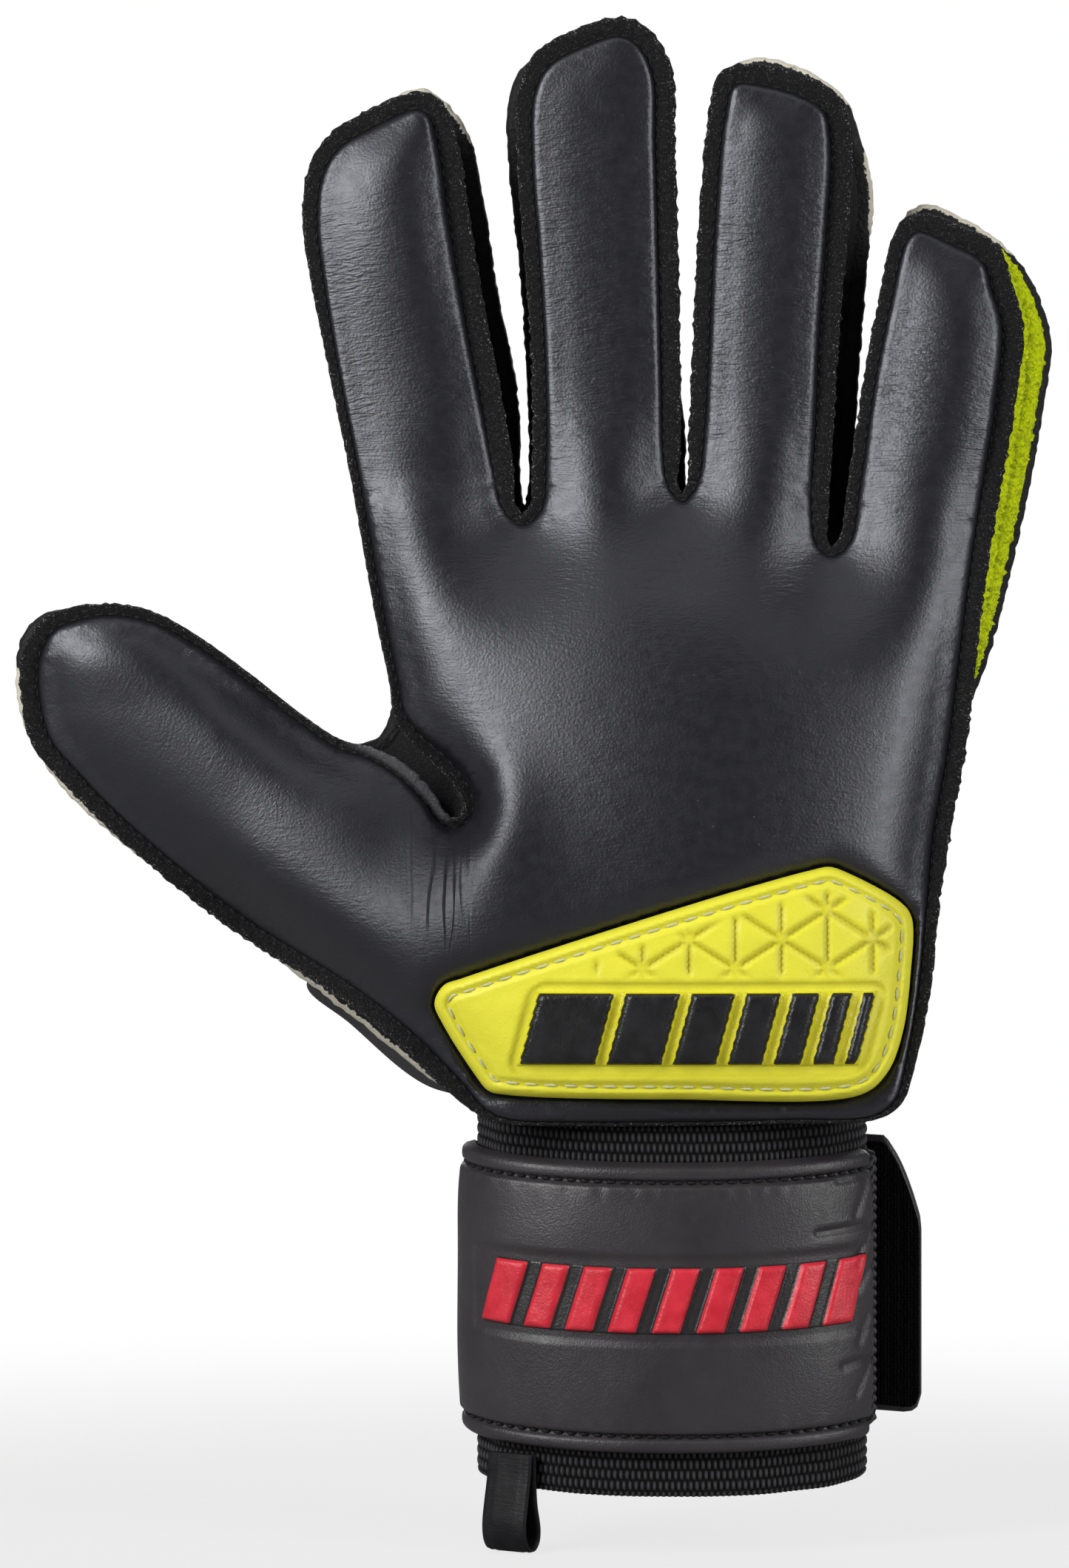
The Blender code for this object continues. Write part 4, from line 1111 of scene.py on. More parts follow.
# Where the painted highlight lies on the flange edge by the thumb's crotch.
lip_highlight = smooth((LIP_RUN - before_crotch) / LIP_FADE) * smooth(before_crotch / 2.5)
lip_highlight *= smooth((out_of_seam - 0.5) / 0.6)
lift = FLANGE_RISE * roll(out_of_seam, 1.0) - FLANGE_SUNK - FLANGE_EDGE * (1.0 - roll(off_edge, EDGE_ROUND))
lift += 0.05 * waves(flat, 0.9, 5) * (out_of_seam > 0.2)
lift -= 0.8 * smooth((off_seam - 1.0) / 3.0) * (out_of_seam == 0.0)
front = back_face(flat) - lift
back = back_face(flat) + BASE_THICK - 0.3 * (1.0 - roll(off_edge, EDGE_ROUND))
raw = smooth(1.0 - off_edge / RAW_EDGE)
looks = {
    "raw": 0.12 + 0.88 * np.concatenate([raw, raw]),
    "lip_highlight": np.concatenate([lip_highlight, np.zeros(len(flat))]),
}
points, groups, normals = slab(flat, faces, part, front, back)
bases = by_part(
    "base_cloth",
    "backhand_base_cloth",
    points,
    groups,
    FLEECE,
    "black_fleece",
    "base",
    "backhand_base",
    normals,
    **looks,
)
for k, base in enumerate(bases):
    mine = faces[part == k]
    spots = flat[np.unique(mine)]
    if k < HAND:
        crease = creases[FINGERS[k]]
        spots = np.column_stack([crease.side(spots), crease.height(spots)])
    wide, long = np.ptp(spots, axis=0)

# The palm: a sheet of latex foam with a rounded, sewn edge.
PALM_STEP = 0.9
PALM_SEWN = 2.5
# Its outer face: how its edge rounds off, how deep the stitches press in, and how plump it is inside them.
PALM_ROUND = (1.9, 2.0)
PALM_GROOVE = (0.55, 0.7)
PALM_PLUMP = (0.35, 7.0)
# Cloth covers the cut edge, but at some fingers' ends it is bare latex, for a length.
BARE_TIPS = {"index": 13.0, "ring": 10.0, "pinky": 17.0}
# It is bare along the thumb and the heel too, left of an x and below a z, but not at the thumb's crotch.
BARE_HEEL = (-40.0, 150.0)
COVERED_AT = (-53.0, 136.0)
COVERED_REACH = 13.0

palm, palm_runs = outline(PALM, PALM_STEP)
palm_out = outward(palm)
palm = palm + palm_out * (0.09 * waves(palm, 2.2, 7))[:, None]
lanes = [palm - palm_out * depth for depth in (0.3, 0.8, 1.4, 2.0, 2.5, 3.0, 3.8)]
flat, faces, part = patchwork(palm, palm_runs, lanes, grid=3.0, edge=5.2, step=2.4)
palm_edge = distance(palm, flat)


def palm_face(edge, spots):
    """The y of the palm's outer face."""
    depth, width = PALM_ROUND
    y = PALM_INNER + PALM_THICK - depth * (1.0 - roll(edge, width))
    depth, half = PALM_GROOVE
    y -= depth * dent(edge - PALM_SEWN, half)
    height, run = PALM_PLUMP
    y += height * smooth((edge - PALM_SEWN) / run) - height
    return y + 0.07 * waves(spots, 9.0, 6) * smooth((edge - 2.0) / 5.0)


inner = PALM_INNER + 1.5 * (1.0 - roll(palm_edge, 1.6))
bare = smooth((BARE_HEEL[0] - flat[:, 0]) / 6.0) * smooth((BARE_HEEL[1] - flat[:, 1]) / 4.0)
off = np.linalg.norm(flat - COVERED_AT, axis=1)
bare *= 1.0 - np.exp(-((off / COVERED_REACH) ** 4))
for name, reach in BARE_TIPS.items():
    tall = creases[name].height(flat)
    beside = np.abs(creases[name].side(flat)) < 1.6 * creases[name].half
    bare = np.maximum(bare, beside * smooth((tall - tall[beside].max() + reach) / 4.0))
bare = bare - 0.8 * (1.0 - bare)
none = np.zeros(len(flat))
looks = {
    "backing": np.concatenate([smooth((palm_edge - 0.6 * bare) / 0.45), none]),
    "worn": np.concatenate([none, 0.35 + 0.65 * smooth(1.0 - palm_edge / 8.0)]),
}
points, groups, normals = slab(flat, faces, part, inner, palm_face(palm_edge, flat))
palms = by_part(
    "palm_latex",
    "palm_sheet",
    points,
    groups,
    LATEX,
    "palm_latex",
    "palm",
    "palm_latex",
    normals,
    **looks,
)


def sewn_runs(line, runs):
    """The stretches of a line with the part each lies on."""
    found = []
    behind = None
    for k, (name, crease) in enumerate(creases.items()):
        before, finger, after = crease.split(run_of(line, runs, name), CUT[name])
        found.append((HAND, before if behind is None else np.vstack([behind, before[1:]])))
        found.append((k, finger))
        behind = after
    return found + [(HAND, np.vstack([behind, run_of(line, runs, "wrist")[1:]]))]


def sew(name, runs, face, out_y, material, slot, stitch):
    """Stitches along runs in x and z, laid on a face; one piece for each part."""
    gathered = {}
    for k, run in runs:
        made, quads = stitches(lifted(run, face(run)), np.tile((0.0, out_y, 0.0), (len(run), 1)), *stitch)
        so_far = gathered.setdefault(k, ([], []))
        so_far[1].append(quads + sum(len(p) for p in so_far[0]))
        so_far[0].append(made)
    for k, (made, quads) in gathered.items():
        label = f"{FINGERS[k] if k < HAND else 'hand'}_{name}"
        part_piece(k, label, np.vstack(made), np.vstack(quads).tolist(), material, slot)


# Each kind of stitch: its pitch, its length and half its thickness.
SEAM_STITCH = (2.3, 1.7, 0.24)
PALM_STITCH = (3.0, 2.3, 0.27)


def seam_groove(run):
    return back_face(run) + 0.32


def palm_groove(run):
    return palm_face(np.full(len(run), PALM_SEWN), run)


runs = sewn_runs(seam_line + seam_out * 0.12, seam_runs)
sew("seam_thread", runs, seam_groove, -1.0, BLACK_THREAD, "black_fleece", SEAM_STITCH)
runs = sewn_runs(palm - palm_out * PALM_SEWN, palm_runs)
sew("palm_thread", runs, palm_groove, 1.0, CREAM_THREAD, "palm_latex", PALM_STITCH)

# The cloth strips that stand between the base and the palm, all the way round from heel to heel.
WALL_AT_BACK = 0.6
WALL_AT_PALM = 2.8
WALL_THICK = 1.2
WALL_STEP = 0.9
WALL_ROWS = 19
WALL_HOLLOW = 0.9
# Down the little finger's right side and on to a height the strip is lime, and bulges.
LIME = ("pinky_gusset_right", "side_mesh")
MESH_FOOT = 133.0
LIME_STEP = 0.45
LIME_BULGE = 1.0
# It is sewn out near the palm's edge, and a crease runs along it. Both come in over its ends.
LIME_OUT = 1.5
LIME_CREASE = 0.56
LIME_CREASE_HALF = 0.1
LIME_CREASE_DEEP = 1.5
LIME_ENDS = 6.0


def resampled(run, count):
    travel = travelled(run)
    return along_path(np.linspace(0.0, travel[-1], count), travel, run)


def cut_at(run, z):
    """A falling run in two, at a height."""
    low = np.flatnonzero(run[:, 1] < z)[0]
    a = run[low - 1]
    b = run[low]
    point = a + (b - a) * (a[1] - z) / (a[1] - b[1])
    return np.vstack([run[:low], point]), np.vstack([point, run[low:]])


# Each strip: its name, its part, and its run along the back and along the palm.
sewn_at = [(seam_line + seam_out * WALL_AT_BACK, seam_runs), (palm - palm_out * WALL_AT_PALM, palm_runs)]
strips = []
behind = None
for k, (name, crease) in enumerate(creases.items()):
    cuts = [crease.split(run_of(line, runs, name), CUT[name]) for line, runs in sewn_at]
    before = [cut[0] for cut in cuts]
    if behind is None:
        strips.append(("heel_gusset", HAND, before))
    else:
        web = [np.vstack([a, b[1:]]) for a, b in zip(behind, before)]
        strips.append((f"{FINGERS[k - 1]}_{name}_web", HAND, web))
    tips = [crease.tip(cut[1]) for cut in cuts]
    strips.append((f"{name}_gusset_left", k, [cut[1][: tip + 1] for cut, tip in zip(cuts, tips)]))
    strips.append((f"{name}_gusset_right", k, [cut[1][tip:] for cut, tip in zip(cuts, tips)]))
    behind = [cut[2] for cut in cuts]
halves = [cut_at(run, MESH_FOOT) for run in behind]
strips.append(("side_mesh", HAND, [half[0] for half in halves]))
strips.append(("side_gusset", HAND, [half[1] for half in halves]))

# All strips as one wall, so that they meet without a step.
at_back = []
at_palm = []
spans = []
for name, k, (back_run, palm_run) in strips:
    count = max(6, int(travelled(back_run)[-1] / (LIME_STEP if name in LIME else WALL_STEP)))
    first = max(0, len(at_back) - 1)
    at_back += list(resampled(back_run, count)[1 if at_back else 0 :])
    at_palm += list(resampled(palm_run, count)[1 if at_palm else 0 :])
    spans.append((name, k, first, len(at_back)))
at_back = np.array(at_back)
at_palm = np.array(at_palm)
along = unit(np.gradient((at_back + at_palm) / 2, axis=0))
for _ in range(3):
    along[1:-1] = (along[:-2] + 2 * along[1:-1] + along[2:]) / 4
out = unit(np.stack([-along[:, 1], along[:, 0]], axis=1))
lime = np.zeros(len(at_back))
for name, _, first, last in spans:
    if name in LIME:
        lime[first:last] = 1.0
travel = travelled(at_back)
lime_travel = travel[lime > 0.0]
lime *= smooth(np.minimum(travel - lime_travel[0], lime_travel[-1] - travel) / LIME_ENDS)
at_palm = at_palm + out * (LIME_OUT * lime)[:, None]
top = back_face(at_back) + BASE_THICK - 0.1
rows = [(share, 0.0) for share in np.linspace(0.0, 1.0, WALL_ROWS)]
rows += [(share, WALL_THICK) for share in (1.0, 0.66, 0.33, 0.0)]
rings = []
grooves = []
for share, depth in rows:
    middle = at_back + (at_palm - at_back) * share
    y = top + (PALM_INNER + 0.1 - top) * share
    bow = math.sin(math.pi * share)
    off_crease = share - LIME_CREASE + 0.012 * waves(travel[:, None], 14.0, 14)
    groove = dent(off_crease, LIME_CREASE_HALF) * lime
    swell = bow * (LIME_BULGE * lime - WALL_HOLLOW * (1.0 - lime)) - LIME_CREASE_DEEP * groove
    if depth == 0.0:
        spots = np.column_stack([middle, y])
        pile = 0.3 * waves(spots, 1.5, 8) + 0.2 * waves(spots, 0.9, 13)
        nap = 0.09 * waves(spots, 1.6, 9)
        swell += (lime * pile + (1.0 - lime) * nap) * min(1.0, 3.0 * bow)
    place = middle + out * (swell - depth)[:, None]
    rings.append(lifted(place, y))
    grooves.append(groove)
rings = np.stack(rings, axis=1)
grooves = np.stack(grooves, axis=1)
points, quads, _ = tube(rings)
normals = normals_of(points, quads).reshape(rings.shape)
for name, k, first, last in spans:
    mine = rings[first:last]
    points, _, sides = tube(mine)
    kind = (TERRY, "lime_mesh") if name in LIME else (FLEECE, "black_fleece")
    facing = normals[first:last].reshape(-1, 3)
    # The groove field paints shade into the crease of the lime strip.
    looks = {"raw": np.full(len(points), 0.1), "groove": grooves[first:last].ravel()}
    thing = part_piece(k, f"{name}_cloth", points, sides, *kind, [name], facing, **looks)
    back_side = mine[:, 0]
    palm_side = mine[:, WALL_ROWS - 1]
    wide = np.linalg.norm(palm_side - back_side, axis=1).mean()
    long = travelled((back_side + palm_side) / 2)[-1]

# The smooth patch over the thumb-side heel of the palm.
HEEL_SEWN = 3.2

heel_line = spline(HEEL, 1.0)[0]
flat, faces = filled(heel_line, grid=1.6, margin=1.5, depths=(0.35, 0.9))
edge = distance(heel_line, flat)
under = np.full(len(flat), PALM_INNER + PALM_THICK + 0.05)
back = under + 0.35 + 1.5 * roll(edge, 1.6) - 0.5 * dent(edge - HEEL_SEWN, 0.6) + 0.08 * waves(flat, 7.0, 12)
points, sides, normals = whole_slab(flat, faces, under, back)
heel = piece("heel_patch_skin", points, sides, HEEL_SKIN, "heel_leather", "hand", ["heel_patch"], normals)

# The moulded pad let into the back above the wrist.
PAD_RIM = 1.25
PAD_SINK = 1.3
PAD_ROUND = 1.7
PAD_PLUMP = 0.35
PAD_GROOVE = 0.85
# Its seam lies inside its edge; a stitch has a pitch, a length, half a thickness and a share that sinks in.
PAD_SEWN = 2.35
PAD_STITCH = (3.4, 2.5, 0.27, 0.2)
# Grooves part it in a field of triangles: a corner of the field, a cell's size, and where the field ends.
NODE = (-6.7, 95.0)
CELL = (8.05, 10.1)
FIELD_LEFT = -18.0
FIELD_FOOT = 89.5
# The bar stands in a moat, has rounded corners, and is parted by gaps at these lengths from its left end.
BAR_MARGIN = 1.9
MOAT = 0.55
BAR_ROUND = 1.5
BAR_SPLITS = np.array([14.5, 26.0, 35.5, 43.5, 50.3, 56.0])
BAR_GAP = 1.7
BAR_WIDE = BAR[3][0] - BAR[0][0]
BAR_TALL = BAR[1][1] - BAR[0][1]
BAR_LEAN = (BAR[1][0] - BAR[0][0]) / BAR_TALL


def on_bar(spots):
    """How far spots lie along the bar and up from its foot, as if it stood square."""
    up = spots[:, 1] - BAR[0][1]
    return spots[:, 0] - BAR[0][0] - BAR_LEAN * up, up


def bar_edge(spots):
    """How far spots are inside the bar's edge, negative outside."""
    long, up = on_bar(spots)
    x = np.abs(long - BAR_WIDE / 2) - BAR_WIDE / 2 + BAR_ROUND
    z = np.abs(up - BAR_TALL / 2) - BAR_TALL / 2 + BAR_ROUND
    return BAR_ROUND - np.hypot(np.maximum(x, 0.0), np.maximum(z, 0.0)) - np.minimum(np.maximum(x, z), 0.0)


def lattice(spots):
    """Grooves on the sides of a field of triangles, each shallow where it reaches a corner."""
    wide, tall = CELL
    depth = np.zeros(len(spots))
    for column in range(-1, 6):
        for row in range(-1, 2):
            node = np.add(NODE, (column * wide, (row + 0.5 * (column % 2)) * tall))
            for x, z in ((0.0, tall), (wide, tall / 2), (wide, -tall / 2)):
                size = math.hypot(x, z)
                along = (spots - node) @ (x, z) / size
                aside = np.abs((spots - node) @ (-z, x) / size)
                ends = 0.25 + 0.75 * smooth((np.minimum(along, size - along) - 0.3) / 1.2)
                ends *= (along > 0.0) & (along < size)
                depth = np.maximum(depth, dent(aside, 0.7) * ends)
    return depth * smooth((spots[:, 0] - FIELD_LEFT) / 5.0) * smooth((spots[:, 1] - FIELD_FOOT) / 2.0)


flat, faces = filled(pad_line, grid=0.62, margin=0.75, depths=(0.2, 0.5))
edge = distance(pad_line, flat)
into_moat = bar_edge(flat) + BAR_MARGIN
sewn = dent(edge - PAD_SEWN, 0.85)
grooves = lattice(flat) * smooth((edge - 3.6) / 1.5) * smooth(-into_moat / 2.0)
rise = (PAD_RIM + PAD_SINK) * roll(edge, PAD_ROUND) - PAD_SINK + PAD_PLUMP * smooth((edge - 3.0) / 6.0)
rise -= PAD_GROOVE * (sewn + grooves) + MOAT * smooth(into_moat / 0.9)
rise += 0.03 * waves(flat, 5.0, 15)
pad_y = drop_on(dome_tree, flat)
pad_y = np.where(np.isnan(pad_y), back_face(flat), pad_y) - rise
points = lifted(flat, pad_y)
pad_tree = BVHTree.FromPolygons(points.tolist(), faces.tolist())

# Underneath it is closed by large triangles between the points of its edge.
known = {point_key(spot): n for n, spot in enumerate(flat)}
cap, cap_faces = fill(pad_line, pad_line[:0])
cap_index = np.array([known[point_key(spot)] for spot in cap])
# Its groove field carries the painted shade in the seam, the lattice grooves and the moat.
pad = piece(
    "back_pad_rubber",
    points,
    faces.tolist() + cap_index[cap_faces[:, ::-1]].tolist(),
    LEMON,
    "lemon_pad",
    "hand",
    ["back_pad"],
    normals_of(points, faces),
    groove=np.clip(0.15 * sewn + 0.9 * grooves + 0.5 * dent(into_moat - 0.4, 0.7), 0.0, 1.0),
)

sewn_line = pad_line - outward(pad_line) * PAD_SEWN
sewn_line = np.vstack([sewn_line, sewn_line[:1]])
path = lifted(sewn_line, drop_on(pad_tree, sewn_line))
made, quads = stitches(path, np.tile((0.0, -1.0, 0.0), (len(path), 1)), *PAD_STITCH)
piece("pad_thread", made, quads.tolist(), PALE_THREAD, "lemon_pad", "hand")

# The raised bar on it, parted by slanting gaps.
corners = np.array(BAR)
share = np.linspace(0.0, 1.0, 90)[:-1, None]
ring = np.vstack([a + (b - a) * share for a, b in zip(corners, np.roll(corners, -1, axis=0))])
flat, faces = filled(ring, grid=0.6, margin=0.4)
long, _ = on_bar(flat)
off_gap = np.abs(long[:, None] - BAR_SPLITS).min(1) - BAR_GAP / 2
gap = smooth((0.45 - off_gap) / 0.55)
edge = np.maximum(bar_edge(flat), 0.0)
rise = 0.1 + (BAR_RISE + 0.15) * roll(edge, 1.3) * (1.0 - gap)
rise -= 0.35 * smooth(1.0 - off_gap / 1.4) * (1.0 - gap)
seat = drop_on(pad_tree, flat)
points, sides, normals = whole_slab(flat, faces, seat - np.maximum(rise, 0.06), seat + 0.3)
gap = np.maximum(gap, smooth(1.0 - edge / 0.35))
looks = {"gap": np.concatenate([gap, gap])}
piece("pad_bar_rubber", points, sides, BLACK_RUBBER, "black_rubber", "hand", ["pad_bar"], normals, **looks)

# The wrist: a knitted cuff, round which the rest is laid.
WRIST_X = -0.9
WRIST_TILT = 0.15
CUFF_HALF = (34.4, 17.0)
CUFF_WALL = 2.0
CUFF_LOW = 4.4
CUFF_HIGH = 69.6
CUFF_INNER_ROWS = np.array([CUFF_HIGH - 0.4, 60.0, 45.0, 30.0, 15.0, CUFF_LOW + 0.4])
KNIT_ROW = 1.85
KNIT_PITCH = 1.12


def at_wrist(turn, out, z, out_y=None):
    """A point round the cuff at an angle, a way out from its face; 270 degrees is the back of the hand."""
    angle = np.radians(turn)
    x = WRIST_X + (CUFF_HALF[0] + out) * np.cos(angle)
    y = (CUFF_HALF[1] + (out if out_y is None else out_y)) * np.sin(angle)
    return np.stack(np.broadcast_arrays(x, y, z + WRIST_TILT * y), axis=-1)


def off_wrist(turn):
    """Unit vectors in x and y square to the cuff's face."""
    angle = np.radians(turn)
    return unit(np.stack([np.cos(angle) / CUFF_HALF[0], np.sin(angle) / CUFF_HALF[1]], axis=-1))


def even_turns(start, end, step):
    """Angles evenly far apart round the cuff, and the way travelled to each."""
    turn = np.linspace(start, end, 2000)
    travel = travelled(at_wrist(turn, 1.5, 0.0)[:, :2])
    way = np.linspace(0.0, travel[-1], max(3, int(travel[-1] / step)))
    return np.interp(way, travel, turn), way


def wrapped(name, outer, inner, material, slot, body, stands_for, closed_way=False, **fields):
    """A piece through sections that each have an outer and an inner row of points."""
    points, quads, sides = tube(np.concatenate([outer, inner], axis=1), closed_way)
    return piece(name, points, sides, material, slot, body, stands_for, normals_of(points, quads), **fields)


def outer_only(values, inner):
    """Values over an outer face, and none over the inner one."""
    return np.concatenate([values, np.zeros(inner.shape[:2])], axis=1).ravel()


turn, way = even_turns(0.0, 360.0, 0.28)
turn = turn[:-1]
pitch = way[-1] / round(way[-1] / KNIT_PITCH)
way = way[:-1]
rows = np.linspace(CUFF_LOW, CUFF_HIGH, 176)
course = np.floor(rows / KNIT_ROW)
ridge = np.sin(math.pi * (rows / KNIT_ROW - course)) ** 0.6
loops = 0.5 + 0.5 * np.cos(2 * math.pi * (way[:, None] / pitch + 0.5 * (course % 2)))
crown = ridge * loops**1.2
to_edge = np.minimum(rows - CUFF_LOW, CUFF_HIGH - rows)
around = np.column_stack([np.cos(np.radians(turn)), np.sin(np.radians(turn))])
out = 0.5 * crown - 0.25 - 0.75 * (1.0 - roll(to_edge, 1.1)) + 0.18 * waves(around * 20, 9.0, 21)[:, None]
outer = at_wrist(turn[:, None], out, rows)
inner = at_wrist(turn[:, None], -CUFF_WALL, CUFF_INNER_ROWS)
# The crowns also place the knit's painted highlight and painted shade.
looks = {"crown": outer_only(crown, inner)}
cuff = wrapped("cuff_knit", outer, inner, KNIT, "black_knit", "hand", ["cuff"], closed_way=True, **looks)

# The strap's sewn part: a padded band with a hem above and below.
CLEAR = 0.4
STRAP_LOW = 12.4
STRAP_HIGH = 63.4
STRAP_ENDS = (176.6, 341.5)
STRAP_SEWN = 3.3
STRAP_STITCH = (2.3, 1.7, 0.36, 0.1)
# It is thin at its edge, the hem rises over a width, and the padding inside the seam puffs up over a roll.
STRAP_EDGE = 0.5
HEM_RISE = 2.0
HEM_ROUND = 1.4
STRAP_PUFF = 0.95
STRAP_ROLL = 12.0
STRAP_GROOVE = 0.95
GROOVE_HALF = 0.8
# Its points lie closer over the hems.
STRAP_ROWS = np.concatenate([
    np.linspace(STRAP_LOW, STRAP_LOW + 6.0, 18),
    np.linspace(STRAP_LOW + 6.6, STRAP_HIGH - 6.6, 66),
    np.linspace(STRAP_HIGH - 6.0, STRAP_HIGH, 18),
])
STRAP_INNER_ROWS = np.array([STRAP_HIGH - 0.2, 50.0, 25.0, STRAP_LOW + 0.2])
# The bar on it: heights and turns between which it lies, its lean, its blocks, their gaps and their rise.
STRAP_BAR = (33.9, 45.6)
STRAP_BAR_TURN = (207.0, 334.0)
STRAP_BAR_LEAN = 0.3
STRAP_BAR_BLOCKS = 9
STRAP_BAR_GAP = 2.3
STRAP_BAR_RISE = 1.05
# It lies in a shallow bed that reaches a margin past it.
BED_DEEP = 0.42
BED_MARGIN = 2.3
# Short pressed lines near the strap's end: x, z at each end, half width, depth.
DENTS = [
    (23.6, 48.2, 33.2, 49.4, 0.9, 0.75), (27.6, 57.0, 33.4, 57.9, 0.8, 0.5),
    (28.0, 24.6, 33.4, 26.0, 0.9, 0.65), (30.6, 42.2, 33.2, 48.6, 0.9, 0.55),
    (33.4, 42.0, 31.0, 37.6, 0.9, 0.5), (30.6, 19.4, 33.2, 25.6, 0.9, 0.5),
    (30.4, 51.0, 32.8, 57.0, 0.9, 0.45), (33.2, 33.8, 30.8, 28.6, 0.9, 0.45),
]


def puckered(way, edge, seed):
    """Puckers along the inside of a hem's seam."""
    return waves(np.column_stack([way, way * 0.0]), 3.4, seed)[:, None] * dent(edge - STRAP_SEWN - 1.2, 2.4)


def strap_thickness(way, rows, place):
    """How thick the strap is, ways round it down and heights across; place is each spot's x and z."""
    edge = np.minimum(rows - STRAP_LOW, STRAP_HIGH - rows)
    pucker = puckered(way, edge, 22)
    body = roll(np.maximum(edge - STRAP_SEWN, 0.0), STRAP_ROLL)
    thick = STRAP_EDGE + HEM_RISE * roll(edge, HEM_ROUND) + 0.15 * dent(edge - 1.8, 1.6) + STRAP_PUFF * body
    thick = thick - (STRAP_GROOVE + 0.1 * pucker) * dent(edge - STRAP_SEWN, GROOVE_HALF) + 0.05 * pucker
    spots = np.column_stack([np.repeat(way, len(rows)), np.tile(rows, len(way))])
    thick += 0.05 * waves(spots, 16.0, 23).reshape(thick.shape) * body
    in_bar = np.minimum(
        np.minimum(way - bar_way[0], bar_way[1] - way)[:, None],
        np.minimum(rows - STRAP_BAR[0], STRAP_BAR[1] - rows),
    )
    thick -= BED_DEEP * smooth((in_bar + BED_MARGIN) / 0.9)
    for x0, z0, x1, z1, half, depth in DENTS:
        line = np.array([(x0, z0), (x1, z1)])
        off = distance(line, place.reshape(-1, 2), closed=False).reshape(thick.shape)
        thick -= depth * dent(off, half)
    return thick


bar_way = [even_turns(STRAP_ENDS[0], end, 0.6)[1][-1] for end in STRAP_BAR_TURN]
strap_turn, strap_way = even_turns(*STRAP_ENDS, 0.55)
place = at_wrist(strap_turn[:, None], 2.5, STRAP_ROWS)[..., [0, 2]]
thick = strap_thickness(strap_way, STRAP_ROWS, place)
thick *= (0.25 + 0.75 * roll(strap_way[-1] - strap_way, 1.3))[:, None]
strap_face = at_wrist(strap_turn[:, None], CLEAR + thick, STRAP_ROWS)
inner = at_wrist(strap_turn[:, None], CLEAR * 0.6, STRAP_INNER_ROWS)
nodes = ["strap_band", "strap_lower_binding", "strap_upper_binding"]
strap = wrapped("strap_skin", strap_face, inner, STRAP, "strap_leather", "hand", nodes)


def on_strap(way, z):
    """Points on the strap's face at ways round it and heights, and the way out from it there."""
    column = np.clip(np.searchsorted(strap_way, way) - 1, 0, len(strap_way) - 2)
    row = np.clip(np.searchsorted(STRAP_ROWS, z) - 1, 0, len(STRAP_ROWS) - 2)
    s = ((way - strap_way[column]) / (strap_way[column + 1] - strap_way[column]))[:, None]
    t = ((z - STRAP_ROWS[row]) / (STRAP_ROWS[row + 1] - STRAP_ROWS[row]))[:, None]
    low = strap_face[column, row] * (1 - s) + strap_face[column + 1, row] * s
    high = strap_face[column, row + 1] * (1 - s) + strap_face[column + 1, row + 1] * s
    facing = off_wrist(np.interp(way, strap_way, strap_turn))
    return low * (1 - t) + high * t, np.column_stack([facing, np.zeros(len(way))])


for name, z in (("lower", STRAP_LOW + STRAP_SEWN), ("upper", STRAP_HIGH - STRAP_SEWN)):
    way = np.linspace(0.6, strap_way[-1] - 1.2, 240)
    made, quads = stitches(*on_strap(way, np.full(len(way), z)), *STRAP_STITCH)
    piece(f"strap_{name}_thread", made, quads.tolist(), BLACK_THREAD, "strap_leather", "hand")

# The raised bar on the strap, parted by slanting gaps.
height = STRAP_BAR[1] - STRAP_BAR[0]
length = bar_way[1] - bar_way[0] - STRAP_BAR_LEAN * height
long, up = np.meshgrid(np.linspace(0.0, length, 170), np.linspace(0.0, height, 30), indexing="ij")
block = length / STRAP_BAR_BLOCKS
off_gap = np.abs((long / block + 0.5) % 1.0 - 0.5) * block - STRAP_BAR_GAP / 2
off_gap = np.where((long < block / 2) | (long > length - block / 2), 99.0, off_gap)
gap = smooth((0.4 - off_gap) / 0.5)
edge = np.minimum(np.minimum(long, length - long), np.minimum(up, height - up))
edge = np.minimum(edge, np.maximum(off_gap, 0.0))
rise = 0.08 + STRAP_BAR_RISE * roll(edge, 1.1) * (1.0 - gap)
seat, facing = on_strap((bar_way[0] + long + STRAP_BAR_LEAN * up).ravel(), STRAP_BAR[0] + up.ravel())
outer = (seat + facing * rise.reshape(-1, 1)).reshape(*long.shape, 3)
inner = (seat - facing * 0.25).reshape(*long.shape, 3)[:, [-1, 0]]
looks = {"gap": outer_only(np.maximum(gap, smooth(1.0 - edge / 0.25)), inner)}
wrapped("strap_bar_rubber", outer, inner, RED_RUBBER, "red_rubber", "hand", ["strap_bar"], **looks)

# The knitted tape that covers the strap's sewn end.
TAPE_TURN = (342.0, 357.6)
TAPE_SPAN = (13.6, 62.2)
BRAID_PITCH = 1.7

turn, way = even_turns(*TAPE_TURN, 0.3)
rows = np.linspace(*TAPE_SPAN, 190)
across = np.linspace(-1.0, 1.0, len(turn))[:, None]
braid = np.cos(2 * math.pi * (rows / BRAID_PITCH + 0.8 * np.abs(across)))
crown = 0.5 + 0.5 * braid * np.sqrt(1.0 - across**2)
to_end = np.minimum(rows - TAPE_SPAN[0], TAPE_SPAN[1] - rows)
out = 0.5 + 1.5 * np.sqrt(1.0 - across**4) * roll(to_end, 1.0) + 0.34 * crown - 0.35 * dent(across, 0.3)
outer = at_wrist(turn[:, None], out, rows)
inner = at_wrist(turn[:, None], 0.25, rows[[-1, 0]])
# The crowns also place the knit's painted highlight and painted shade.
looks = {"crown": outer_only(crown, inner)}
wrapped("strap_tape_knit", outer, inner, KNIT, "black_knit", "hand", ["strap_tape"], **looks)

